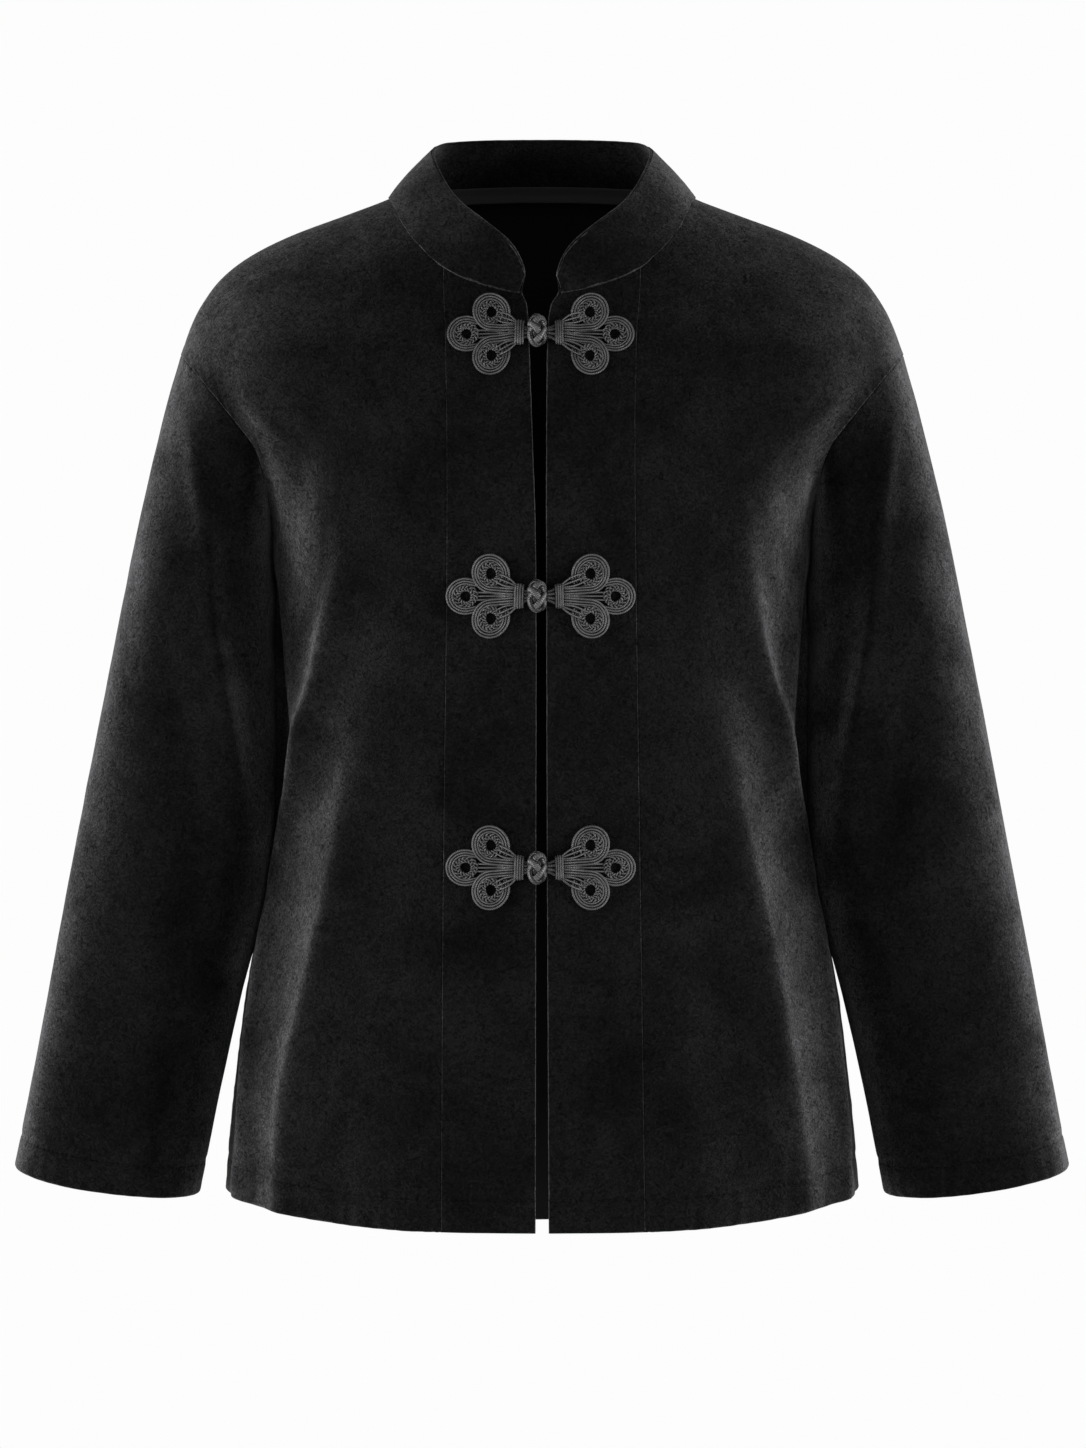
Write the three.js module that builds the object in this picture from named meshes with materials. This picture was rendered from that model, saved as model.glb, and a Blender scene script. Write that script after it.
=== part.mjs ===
// Velvet jacket with a stand collar, three knotted frog closures and drop-shoulder sleeves,
// filled out as if worn, with nobody in it. Millimetres, +Z up, the front faces -Y and the
// wearer's left is +X. The origin lies midway between the two points where the shoulder
// seams meet the neck, which is where the jacket hangs on its wearer.
import * as THREE from 'three';

// Cloth and gaps
const VELVET = 2.0;
const COLLAR_WALL = 2.6;
const TAPE_WALL = 0.9;
const SEAM_GAP = 0.4;
const LAY_GAP = 0.6;
const FROG_GAP = 0.9;
const KNOT_GAP = 0.35;

// Cut points of the body, on one half, as distances from the middle and heights
const SHOULDER_POINT = { x: 224, z: -97 };
const UNDERARM = { x: 167, z: -207 };
const NECK_POINT = { x: 94, z: 0 };
const HEM_SIDE = -613;
const HEM_FRONT = -630;
const HEM_BACK = -644;
const HEM_CURVE = 3.4;

// Roundness of the body's sections and of the tops of its shoulders
const SECTION_POWER = 2.4;
const FRONT_ROUND = 95;
const BACK_ROUND = 60;
const ARM_SPREAD = 0.23;
const ARM_SPREAD_EARLY = 0.3;
const ARM_SPREAD_POWER = 3;
const GIRTH_RADIUS = 140;

// Half sections of the body from the hem up: half width at the side seam, depth in front of
// and behind the middle plane, and where the side or shoulder seam lies front to back
const BODY = [
  { z: -660, width: 199.0, front: 137, back: 131, seam: 4 },
  { z: -613, width: 196.5, front: 136, back: 130, seam: 5 },
  { z: -565, width: 192.4, front: 134, back: 128, seam: 8 },
  { z: -503, width: 185.4, front: 132, back: 126, seam: 12 },
  { z: -477, width: 181.4, front: 131, back: 125, seam: 14 },
  { z: -451, width: 176.4, front: 130, back: 124, seam: 16 },
  { z: -428, width: 171.6, front: 129, back: 123, seam: 18 },
  { z: -405, width: 168.6, front: 128, back: 122, seam: 20 },
  { z: -333, width: 167.2, front: 125, back: 119, seam: 22 },
  { z: -280, width: 166.6, front: 124, back: 116, seam: 22 },
  { z: -240, width: 165.4, front: 124, back: 114, seam: 19 },
  { z: -207, width: 167.0, front: 123, back: 112, seam: 16 },
  { z: -170, width: 170.0, front: 119, back: 111, seam: 12 },
  { z: -120, width: 205.0, front: 109, back: 108, seam: 8 },
  { z: -66, width: 224.0, front: 90, back: 99, seam: 5 },
  { z: -30, width: 224.0, front: 86, back: 91, seam: 5 },
  { z: 0, width: 224.0, front: 84, back: 85, seam: 5 },
  { z: 40, width: 224.0, front: 82, back: 80, seam: 5 },
];

// Line of the shoulder seam from the middle out, with the neck's rise inside the neck point
const SHOULDER = [
  { x: 0, z: 31 }, { x: 30, z: 29 }, { x: 60, z: 19 }, { x: 80, z: 8.5 },
  { x: 94, z: 0 }, { x: 120, z: -10 }, { x: 155, z: -23 }, { x: 181, z: -36 },
  { x: 199, z: -50 }, { x: 211, z: -66 }, { x: 218, z: -80 }, { x: 224, z: -97 },
];

// Armhole seam seen from the front, from the shoulder point down to the underarm
const ARMHOLE = [
  { z: -207, x: 167 }, { z: -185, x: 168.6 }, { z: -163, x: 173.6 }, { z: -154, x: 178 },
  { z: -139, x: 189.7 }, { z: -122, x: 203.4 }, { z: -109, x: 214 }, { z: -97, x: 224 },
];

// Neck seams from the middle out: the front one starts at the front edge
const FRONT_NECK = [
  { x: 12, z: -64.5 }, { x: 26, z: -61.8 }, { x: 45.6, z: -55.6 }, { x: 60, z: -48 },
  { x: 72, z: -37.6 }, { x: 81.5, z: -25.5 }, { x: 90, z: -9.5 }, { x: 94, z: 0 },
];
const BACK_NECK = [
  { x: 0, z: 8 }, { x: 16, z: 7.9 }, { x: 32, z: 7.3 }, { x: 48, z: 6.1 },
  { x: 64, z: 4.5 }, { x: 80, z: 2.2 }, { x: 94, z: 0 },
];

// Front edges and band seams, wearer's right (image left) and wearer's left
const BAND_RIGHT = [
  { z: -660, edge: 3.9, seam: 60.3 }, { z: -435, edge: 3.6, seam: 59.4 },
  { z: -224, edge: 3.6, seam: 57.2 }, { z: -143, edge: 6.0, seam: 57.4 },
  { z: -86, edge: 8.1, seam: 58.6 }, { z: -72, edge: 9.1, seam: 59.3 },
  { z: -64.5, edge: 12.0, seam: 59.7 }, { z: -48, edge: 12.6, seam: 60.0 },
];
const BAND_LEFT = [
  { z: -660, edge: 4.2, seam: 62.0 }, { z: -435, edge: 3.1, seam: 59.2 },
  { z: -224, edge: 2.5, seam: 56.4 }, { z: -143, edge: 2.6, seam: 56.0 },
  { z: -86, edge: 3.5, seam: 57.4 }, { z: -72, edge: 5.4, seam: 58.8 },
  { z: -64.5, edge: 9.7, seam: 59.4 }, { z: -48, edge: 10.4, seam: 60.0 },
];
// The wearer's left front reaches closer to the middle at the neck, by so much at its edge
const LEFT_CLOSER = 2.3;

// Sleeve, from the armhole (run 0) to the cuff (run 1): its outer and inner lines seen from
// the front, its half depth, and where its middle lies front to back
const SLEEVE = [
  { run: 0.00, outX: 224.0, outZ: -97, inX: 167.0, inZ: -207, depth: 64, middle: 12 },
  { run: 0.07, outX: 233.9, outZ: -132, inX: 168.2, inZ: -236, depth: 64, middle: 7 },
  { run: 0.19, outX: 247.8, outZ: -193, inX: 169.2, inZ: -285, depth: 62, middle: -2 },
  { run: 0.32, outX: 260.4, outZ: -256, inX: 169.3, inZ: -337, depth: 60, middle: -7 },
  { run: 0.46, outX: 274.0, outZ: -328, inX: 170.2, inZ: -393, depth: 57, middle: -10 },
  { run: 0.58, outX: 286.0, outZ: -391, inX: 175.0, inZ: -443, depth: 54, middle: -12 },
  { run: 0.70, outX: 297.8, outZ: -453, inX: 184.6, inZ: -491, depth: 51, middle: -14 },
  { run: 0.85, outX: 312.0, outZ: -531, inX: 198.8, inZ: -553, depth: 47, middle: -17 },
  { run: 1.00, outX: 324.5, outZ: -598, inX: 210.5, inZ: -614, depth: 43, middle: -20 },
];
const SLEEVE_POWER = 2.15;
const HEAD_BLEND = 0.24;
const CUFF_SCOOP = 6;

// Collar from its front end to the middle of the back: the neck seam it stands on and its rim
const COLLAR = [
  { seamX: 12.0, seamZ: -64.5, rimX: 10.6, rimY: -89.5, rimZ: -56.5 },
  { seamX: 16.0, seamZ: -63.8, rimX: 10.9, rimY: -88.5, rimZ: -49.5 },
  { seamX: 26.0, seamZ: -61.8, rimX: 14.6, rimY: -86.0, rimZ: -40.6 },
  { seamX: 35.5, seamZ: -58.7, rimX: 19.8, rimY: -83.0, rimZ: -33.5 },
  { seamX: 45.6, seamZ: -55.6, rimX: 27.0, rimY: -79.0, rimZ: -26.8 },
  { seamX: 60.0, seamZ: -48.0, rimX: 37.6, rimY: -71.0, rimZ: -18.0 },
  { seamX: 72.0, seamZ: -37.6, rimX: 48.4, rimY: -60.0, rimZ: -8.8 },
  { seamX: 81.5, seamZ: -25.5, rimX: 56.8, rimY: -44.0, rimZ: 2.6 },
  { seamX: 90.0, seamZ: -9.5, rimX: 63.2, rimY: -22.0, rimZ: 16.5 },
  { seamX: 94.0, seamZ: 0.0, rimX: 66.0, rimY: 4.0, rimZ: 29.0 },
  { seamX: 80.0, seamZ: 2.2, rimX: 60.4, rimY: 26.0, rimZ: 35.5 },
  { seamX: 64.0, seamZ: 4.5, rimX: 50.0, rimY: 36.0, rimZ: 37.8 },
  { seamX: 48.0, seamZ: 6.1, rimX: 38.0, rimY: 41.5, rimZ: 39.0 },
  { seamX: 32.0, seamZ: 7.3, rimX: 25.6, rimY: 44.8, rimZ: 39.6 },
  { seamX: 16.0, seamZ: 7.9, rimX: 12.8, rimY: 46.4, rimZ: 39.9 },
  { seamX: 0.0, seamZ: 8.0, rimX: 0.0, rimY: 47.0, rimZ: 40.0 },
];
const COLLAR_CROWN = 2.2;

// Largest folds. Each runs down a path of half width x over height z, and stands out by rise
// over a girth of inner mm towards the middle and outer mm towards the side
const FRONT_FOLDS = [
  { side: -1, rise: 4.5, inner: 15, outer: 12,
    path: [{ z: -345, x: 146 }, { z: -285, x: 154 }, { z: -172, x: 166 }, { z: -100, x: 177 }] },
  { side: -1, rise: 7.0, inner: 17, outer: 11,
    path: [{ z: -600, x: 184 }, { z: -485, x: 172 }, { z: -404, x: 158 }, { z: -336, x: 145 },
      { z: -294, x: 134 }, { z: -224, x: 119 }] },
  { side: -1, rise: 5.0, inner: 22, outer: 14,
    path: [{ z: -625, x: 160 }, { z: -544, x: 153 }, { z: -468, x: 136 }, { z: -399, x: 121 },
      { z: -355, x: 112 }] },
  { side: -1, rise: 3.0, inner: 24, outer: 14,
    path: [{ z: -205, x: 130 }, { z: -167, x: 132 }, { z: -105, x: 151 }, { z: -62, x: 170 }] },
  { side: -1, rise: -4.5, inner: 10, outer: 10,
    path: [{ z: -420, x: 165.5 }, { z: -333, x: 160 }, { z: -250, x: 161 }] },
  { side: 1, rise: 4.0, inner: 15, outer: 12,
    path: [{ z: -350, x: 146 }, { z: -285, x: 153 }, { z: -149, x: 168 }, { z: -90, x: 178 }] },
  { side: 1, rise: 6.4, inner: 18, outer: 11,
    path: [{ z: -610, x: 186 }, { z: -496, x: 174 }, { z: -407, x: 160 }, { z: -332, x: 145 },
      { z: -276, x: 130 }, { z: -215, x: 120 }] },
  { side: 1, rise: 4.4, inner: 24, outer: 16,
    path: [{ z: -630, x: 164 }, { z: -548, x: 150 }, { z: -459, x: 135 }, { z: -372, x: 116 },
      { z: -330, x: 106 }] },
  { side: 1, rise: 3.4, inner: 22, outer: 15,
    path: [{ z: -215, x: 133 }, { z: -160, x: 136 }, { z: -110, x: 154 }, { z: -66, x: 172 }] },
  { side: 1, rise: -4.5, inner: 10, outer: 10,
    path: [{ z: -420, x: 165.5 }, { z: -333, x: 160 }, { z: -250, x: 161 }] },
];
const BACK_FOLDS = [
  { side: -1, rise: 5.0, inner: 16, outer: 14,
    path: [{ z: -460, x: 168 }, { z: -360, x: 158 }, { z: -262, x: 156 }, { z: -216, x: 154 }] },
  { side: -1, rise: 6.5, inner: 24, outer: 20,
    path: [{ z: -640, x: 128 }, { z: -500, x: 120 }, { z: -360, x: 104 }, { z: -210, x: 98 }] },
  { side: -1, rise: 3.8, inner: 20, outer: 24,
    path: [{ z: -644, x: 54 }, { z: -470, x: 48 }, { z: -330, x: 46 }] },
  { side: -1, rise: 3.2, inner: 20, outer: 16,
    path: [{ z: -230, x: 140 }, { z: -150, x: 150 }, { z: -80, x: 166 }] },
  { side: 1, rise: 5.0, inner: 16, outer: 14,
    path: [{ z: -450, x: 167 }, { z: -370, x: 158 }, { z: -270, x: 156 }, { z: -220, x: 154 }] },
  { side: 1, rise: 5.4, inner: 26, outer: 18,
    path: [{ z: -636, x: 136 }, { z: -520, x: 124 }, { z: -380, x: 110 }, { z: -250, x: 100 }] },
  { side: 1, rise: 4.4, inner: 22, outer: 22,
    path: [{ z: -644, x: 66 }, { z: -520, x: 58 }, { z: -400, x: 50 }] },
  { side: 1, rise: 3.6, inner: 20, outer: 16,
    path: [{ z: -220, x: 138 }, { z: -140, x: 152 }, { z: -76, x: 168 }] },
];
// Sleeve folds run along the sleeve: across is 0 on its outer line and 1 on its inner one
const SLEEVE_FOLDS = [
  { face: -1, rise: 4.5, width: 0.11,
    path: [{ run: 0.05, across: 0.2 }, { run: 0.15, across: 0.44 }, { run: 0.25, across: 0.6 },
      { run: 0.38, across: 0.76 }, { run: 0.52, across: 0.86 }] },
  { face: -1, rise: 3.4, width: 0.16,
    path: [{ run: 0.42, across: 0.36 }, { run: 0.62, across: 0.46 }, { run: 0.82, across: 0.62 },
      { run: 0.97, across: 0.7 }] },
  { face: -1, rise: -3.0, width: 0.1,
    path: [{ run: 0.3, across: 0.34 }, { run: 0.5, across: 0.6 }, { run: 0.68, across: 0.76 }] },
  { face: 1, rise: 4.2, width: 0.13,
    path: [{ run: 0.06, across: 0.3 }, { run: 0.24, across: 0.52 }, { run: 0.46, across: 0.66 }] },
  { face: 1, rise: 3.6, width: 0.15,
    path: [{ run: 0.36, across: 0.28 }, { run: 0.6, across: 0.4 }, { run: 0.92, across: 0.56 }] },
];
const FOLD_FADE = 45;
const SEAM_FADE = 24;

// Mesh steps
const HALF_RING = 11;
const BODY_ROWS = 12;
const UNDERARM_SHARE = 0.74;
const SHOULDER_STEPS = 10;
const BACK_SHOULDER_STEPS = 9;
const BAND_STEPS = 3;
const SLEEVE_RINGS = 17;
const COLLAR_ROWS = 4;
const TAPE_HEIGHT = 9;
const TAPE_DROP = 0.6;
const TAPE_SHORT = 20;

// Frog closures: three heights; sizes are measured from the jacket's middle outwards
const FROG_HEIGHTS = [-91.5, -249.5, -412];
const FROG_SIDES = [
  { name: 'right', sign: -1, stem: 10.2, wrap: 17.6, petals: 0 },
  { name: 'left', sign: 1, stem: 4.2, wrap: 13.8, petals: -1.6 },
];
const PETALS = [
  { out: 45.4, up: 0, long: 11.4, wide: 9.8, turn: 0 },
  { out: 30.6, up: 13.4, long: 12.4, wide: 10.6, turn: 1.05 },
  { out: 30.6, up: -13.4, long: 12.4, wide: 10.6, turn: -1.05 },
];
const PETAL_HOLE = { long: 3.3, wide: 2.4, points: 8 };
const FROG_HUB = 30;
const FROG_POINTS = 40;
const STEM_HALF = 4.6;
const WRAP_HALF = 7.4;
const FROG_THICK = 3.0;
const FROG_EDGE = 0.8;
const WRAP_SWELL = 2.1;
const KNOT = { middle: -3.0, halfWide: 6.7, halfDeep: 6.2, halfTall: 10.6, around: 12, up: 8 };

// Value at a place in a table, on a smooth curve through its rows
function along(rows, key, column, at) {
  const last = rows.length - 1;
  const rising = rows[last][key] > rows[0][key];
  let i = 0;
  while (i < last - 1 && (rising ? at > rows[i + 1][key] : at < rows[i + 1][key])) i += 1;
  const slope = (k) => {
    const a = rows[Math.max(k - 1, 0)];
    const b = rows[Math.min(k + 1, last)];
    return (b[column] - a[column]) / (b[key] - a[key]);
  };
  const step = rows[i + 1][key] - rows[i][key];
  const t = THREE.MathUtils.clamp((at - rows[i][key]) / step, 0, 1);
  const t2 = t * t;
  const t3 = t2 * t;
  return (2 * t3 - 3 * t2 + 1) * rows[i][column] + (t3 - 2 * t2 + t) * step * slope(i)
    + (3 * t2 - 2 * t3) * rows[i + 1][column] + (t3 - t2) * step * slope(i + 1);
}

function ramp(at, from, to) {
  return THREE.MathUtils.smoothstep(at, from, to);
}

// Half width at which the armhole seam lies at a height
function armX(z) {
  return along(ARMHOLE, 'z', 'x', THREE.MathUtils.clamp(z, UNDERARM.z, SHOULDER_POINT.z));
}

// Half width of the section that a point lies on, which opens out above the underarm, most of
// all near the armhole
function bodyWidth(half, z) {
  if (z <= UNDERARM.z) return along(BODY, 'z', 'width', z);
  const high = Math.min((z - UNDERARM.z) / (SHOULDER_POINT.z - UNDERARM.z), 1);
  const arm = armX(z);
  const spread = ARM_SPREAD * high * (1 + ARM_SPREAD_EARLY * (1 - high));
  return arm / (1 - spread * Math.min(half / arm, 1) ** ARM_SPREAD_POWER);
}

// Distance below the shoulder line, seen from the front
function belowShoulder(x, z) {
  let nearest = Infinity;
  for (let i = 0; i + 1 < SHOULDER.length; i += 1) {
    const a = SHOULDER[i];
    const b = SHOULDER[i + 1];
    const dx = b.x - a.x;
    const dz = b.z - a.z;
    const t = THREE.MathUtils.clamp(((x - a.x) * dx + (z - a.z) * dz) / (dx * dx + dz * dz), 0, 1);
    nearest = Math.min(nearest, Math.hypot(x - a.x - t * dx, z - a.z - t * dz));
  }
  return nearest;
}

// Point of the smooth body in front (face -1) or behind (face 1), x signed
function bodyPoint(x, z, face) {
  const half = Math.abs(x);
  const seam = along(BODY, 'z', 'seam', z);
  const depth = face < 0 ? along(BODY, 'z', 'front', z) + seam : along(BODY, 'z', 'back', z) - seam;
  const round = face < 0 ? FRONT_ROUND : BACK_ROUND;
  const across = 1 - Math.min(half / bodyWidth(half, z), 1) ** SECTION_POWER;
  const top = 1 - (1 - Math.min(belowShoulder(half, z) / round, 1)) ** 2;
  const out = Math.max(depth * Math.sqrt(across * top), SEAM_GAP / 2);
  return new THREE.Vector3(x, seam + face * out, z);
}

// How far the folds lift the body's cloth at a point
function bodyFold(x, z, face) {
  const half = Math.abs(x);
  const width = bodyWidth(half, z);
  const angle = Math.asin(Math.min(half / width, 1));
  let lift = 0;
  for (const fold of face < 0 ? FRONT_FOLDS : BACK_FOLDS) {
    if (fold.side * x <= 0) continue;
    const low = fold.path[0].z;
    const high = fold.path[fold.path.length - 1].z;
    if (z < low - FOLD_FADE || z > high + FOLD_FADE) continue;
    const centre = Math.asin(Math.min(along(fold.path, 'z', 'x', z) / width, 1));
    const reach = (angle - centre) * GIRTH_RADIUS / (angle < centre ? fold.inner : fold.outer);
    const ends = ramp(z, low - FOLD_FADE, low + FOLD_FADE) * (1 - ramp(z, high - FOLD_FADE, high + FOLD_FADE));
    const open = low < HEM_SIDE + FOLD_FADE ? 1 - ramp(z, high - FOLD_FADE, high + FOLD_FADE) : ends;
    lift += fold.rise * open * Math.exp(-reach * reach);
  }
  return lift;
}

// Heights of the armhole's points, shared by the body panels and the sleeve
function armHeight(k) {
  const share = (1 - Math.cos(Math.PI * k / HALF_RING)) / 2;
  return SHOULDER_POINT.z + share * (UNDERARM.z - SHOULDER_POINT.z);
}

// Direction out of the body across the armhole seam at a height
function armOut(z, sign) {
  const step = 2;
  const rise = armX(Math.min(z + step, SHOULDER_POINT.z)) - armX(Math.max(z - step, UNDERARM.z));
  const run = Math.min(z + step, SHOULDER_POINT.z) - Math.max(z - step, UNDERARM.z);
  return new THREE.Vector3(sign * run, 0, -rise).normalize();
}

// Point at a share of the length of a line of rows
function partWay(rows, share) {
  const lengths = [0];
  for (let i = 1; i < rows.length; i += 1) {
    lengths.push(lengths[i - 1] + Math.hypot(rows[i].x - rows[i - 1].x, rows[i].z - rows[i - 1].z));
  }
  const want = share * lengths[lengths.length - 1];
  let i = 1;
  while (i < rows.length - 1 && lengths[i] < want) i += 1;
  const t = (want - lengths[i - 1]) / (lengths[i] - lengths[i - 1]);
  return { x: rows[i - 1].x + t * (rows[i].x - rows[i - 1].x), z: rows[i - 1].z + t * (rows[i].z - rows[i - 1].z) };
}

function hemHeight(x, middle) {
  const share = Math.min(Math.abs(x) / along(BODY, 'z', 'width', HEM_SIDE), 1);
  return middle + (HEM_SIDE - middle) * share ** HEM_CURVE;
}

// Places of a half panel's points seen from the front: rows run from the hem up, columns from
// the inner edge to the side seam and the armhole
function halfPanel({ edgeX, edgeTop, neck, hemMiddle, shoulderSteps }) {
  const neckSteps = neck.length - 1;
  const columns = neckSteps + shoulderSteps;
  const rows = BODY_ROWS + HALF_RING;
  const outer = SHOULDER.filter((row) => row.x >= NECK_POINT.x);
  const top = [];
  const share = [];
  for (let j = 0; j <= columns; j += 1) {
    share.push(Math.sin(0.5 * Math.PI * j / columns));
    if (j < neckSteps) top.push({ ...neck[j] });
    else top.push(partWay(outer, Math.sin(0.5 * Math.PI * (j - neckSteps) / shoulderSteps) ** 1.2));
  }
  const grid = [];
  const hemX = along(BODY, 'z', 'width', HEM_SIDE);
  const bottom = share.map((s) => {
    const x = edgeX(hemMiddle) + (hemX - edgeX(hemMiddle)) * s;
    return { x, z: hemHeight(x, hemMiddle) };
  });
  for (let i = 0; i <= rows; i += 1) {
    const above = i - BODY_ROWS;
    const side = {};
    let v;
    if (above <= 0) {
      v = UNDERARM_SHARE * i / BODY_ROWS;
      side.z = HEM_SIDE + (UNDERARM.z - HEM_SIDE) * i / BODY_ROWS;
      side.x = along(BODY, 'z', 'width', side.z);
    } else {
      side.z = armHeight(HALF_RING - above);
      v = UNDERARM_SHARE + (1 - UNDERARM_SHARE) * (side.z - UNDERARM.z) / (SHOULDER_POINT.z - UNDERARM.z);
      side.x = armX(side.z) - SEAM_GAP / 2;
    }
    const start = bottom[0].z;
    const edge = { z: start + (edgeTop - start) * v };
    edge.x = edgeX(edge.z);
    const row = share.map((s, j) => {
      const mix = (key) => {
        const corners = (1 - s) * ((1 - v) * bottom[0][key] + v * top[0][key])
          + s * ((1 - v) * bottom[columns][key] + v * top[columns][key]);
        return (1 - v) * bottom[j][key] + v * top[j][key] + (1 - s) * edge[key] + s * side[key] - corners;
      };
      return { x: mix('x'), z: mix('z') };
    });
    row[0] = edge;
    row[columns] = side;
    if (i === rows) row.forEach((place, j) => Object.assign(place, top[j]));
    grid.push(row);
  }
  return grid;
}

// Outward directions of a grid of points, worked out from its neighbours
function gridNormals(points, closed, flip) {
  const rows = points.length;
  const columns = points[0].length;
  const near = (list, k, wrap) => (wrap ? list[(k + list.length) % list.length] : list[THREE.MathUtils.clamp(k, 0, list.length - 1)]);
  return points.map((row, i) => row.map((_, j) => {
    const across = near(row, j + 1, closed).clone().sub(near(row, j - 1, closed));
    const up = points[Math.min(i + 1, rows - 1)][j].clone().sub(points[Math.max(i - 1, 0)][j]);
    const normal = across.cross(up).normalize();
    return flip ? normal.negate() : normal;
  }).slice(0, columns));
}

// Closed wall: the points are its outer face, and inwards gives each point's way through it
function wall(outer, inwards, closed, flip) {
  const rows = outer.length;
  const columns = outer[0].length;
  const inner = outer.map((row, i) => row.map((p, j) => p.clone().add(inwards[i][j])));
  const positions = [];
  outer.concat(inner).forEach((row) => row.forEach((p) => positions.push(p.x, p.y, p.z)));
  const outId = (i, j) => i * columns + (j % columns);
  const inId = (i, j) => rows * columns + outId(i, j);
  const faces = [];
  const quad = (a, b, c, d) => {
    if (flip) faces.push(a, c, b, a, d, c);
    else faces.push(a, b, c, a, c, d);
  };
  const spans = closed ? columns : columns - 1;
  for (let i = 0; i + 1 < rows; i += 1) {
    for (let j = 0; j < spans; j += 1) {
      quad(outId(i, j), outId(i, j + 1), outId(i + 1, j + 1), outId(i + 1, j));
      quad(inId(i, j), inId(i + 1, j), inId(i + 1, j + 1), inId(i, j + 1));
    }
    if (!closed) {
      quad(outId(i, 0), outId(i + 1, 0), inId(i + 1, 0), inId(i, 0));
      const j = columns - 1;
      quad(outId(i, j), inId(i, j), inId(i + 1, j), outId(i + 1, j));
    }
  }
  for (let j = 0; j < spans; j += 1) {
    quad(outId(0, j), inId(0, j), inId(0, j + 1), outId(0, j + 1));
    const i = rows - 1;
    quad(outId(i, j), outId(i, j + 1), inId(i, j + 1), inId(i, j));
  }
  const geometry = new THREE.BufferGeometry();
  geometry.setAttribute('position', new THREE.Float32BufferAttribute(positions, 3));
  geometry.setIndex(faces);
  geometry.computeVertexNormals();
  return geometry;
}

// A seam's face never leans over its neighbour: drops what points towards it
function holdBack(vector, towards) {
  const lean = vector.dot(towards);
  if (lean > 0) vector.addScaledVector(towards, -lean);
}

const IN_X = new THREE.Vector3(1, 0, 0);
const IN_Y = new THREE.Vector3(0, 1, 0);
const DOWN = new THREE.Vector3(0, 0, -1);

// Body panel wall from its places; x is signed by the side the places lie on
function bodyPanel(places, face, seams) {
  const flip = face > 0;
  const base = places.map((row) => row.map((p) => bodyPoint(p.x, p.z, face)));
  const smooth = gridNormals(base, false, flip);
  const folded = base.map((row, i) => row.map((p, j) => {
    const lift = bodyFold(p.x, p.z, face) * seams.fade(i, j, places[i][j]);
    return p.clone().addScaledVector(smooth[i][j], lift);
  }));
  const inwards = gridNormals(folded, false, flip).map((row) => row.map((n) => n.multiplyScalar(-VELVET)));
  inwards.forEach((row, i) => row.forEach((way, j) => seams.hold(way, i, j, places[i][j])));
  return wall(folded, inwards, false, flip);
}

// Folds die out towards the seams, so that neighbouring pieces meet
function seamFade(x, z, hemFree) {
  const half = Math.abs(x);
  let clear = belowShoulder(half, z);
  if (z > UNDERARM.z - SEAM_FADE) {
    const height = THREE.MathUtils.clamp(z, UNDERARM.z, SHOULDER_POINT.z);
    clear = Math.min(clear, Math.hypot(armX(height) - half, height - z));
  }
  const seamY = hemFree * (1 - Math.min(half / bodyWidth(half, z), 1));
  return ramp(clear, 0, SEAM_FADE) * ramp(seamY, 0, 0.02);
}

function frontPanel(sign, band) {
  const rows = BODY_ROWS + HALF_RING;
  const seamX = (z) => along(band, 'z', 'seam', z) + SEAM_GAP / 2;
  const start = FRONT_NECK.findIndex((row) => row.x > 61);
  const first = { x: seamX(-48), z: -48 };
  const places = halfPanel({
    edgeX: seamX,
    edgeTop: first.z,
    neck: [first, ...FRONT_NECK.slice(start)],
    hemMiddle: hemHeight(seamX(HEM_FRONT), HEM_FRONT),
    shoulderSteps: SHOULDER_STEPS,
  }).map((row) => row.map((p) => ({ x: sign * p.x, z: p.z })));
  const ordered = sign < 0 ? places.map((row) => row.reverse()) : places;
  const columns = places[0].length - 1;
  const sideColumn = sign < 0 ? 0 : columns;
  const bandColumn = sign < 0 ? columns : 0;
  return bodyPanel(ordered, -1, {
    fade: (i, j, p) => seamFade(p.x, p.z, 1),
    hold: (way, i, j, p) => {
      if (j === sideColumn && i <= BODY_ROWS) holdBack(way, IN_Y);
      if (j === sideColumn && i >= BODY_ROWS) holdBack(way, armOut(p.z, sign));
      if (j === bandColumn) holdBack(way, IN_X.clone().multiplyScalar(-sign));
      if (i === rows && Math.abs(p.x) >= NECK_POINT.x) holdBack(way, IN_Y);
    },
  });
}

function backPanel() {
  const half = halfPanel({
    edgeX: () => 0,
    edgeTop: BACK_NECK[0].z,
    neck: BACK_NECK,
    hemMiddle: HEM_BACK,
    shoulderSteps: BACK_SHOULDER_STEPS,
  });
  const places = half.map((row) => [
    ...row.slice(1).reverse().map((p) => ({ x: -p.x, z: p.z })),
    ...row.map((p) => ({ x: p.x, z: p.z })),
  ]);
  const last = places[0].length - 1;
  const rows = places.length - 1;
  const backwards = IN_Y.clone().negate();
  return bodyPanel(places, 1, {
    fade: (i, j, p) => seamFade(p.x, p.z, 1),
    hold: (way, i, j, p) => {
      const side = j === 0 || j === last;
      if (side && i <= BODY_ROWS) holdBack(way, backwards);
      if (side && i >= BODY_ROWS) holdBack(way, armOut(p.z, Math.sign(p.x)));
      if (i === rows && Math.abs(p.x) >= NECK_POINT.x) holdBack(way, backwards);
    },
  });
}

// How much closer the left half of the neck lies at a distance from the middle
function neckShift(x, sign) {
  return sign > 0 ? -LEFT_CLOSER * THREE.MathUtils.clamp((60 - x) / 48, 0, 1) : 0;
}

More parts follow.
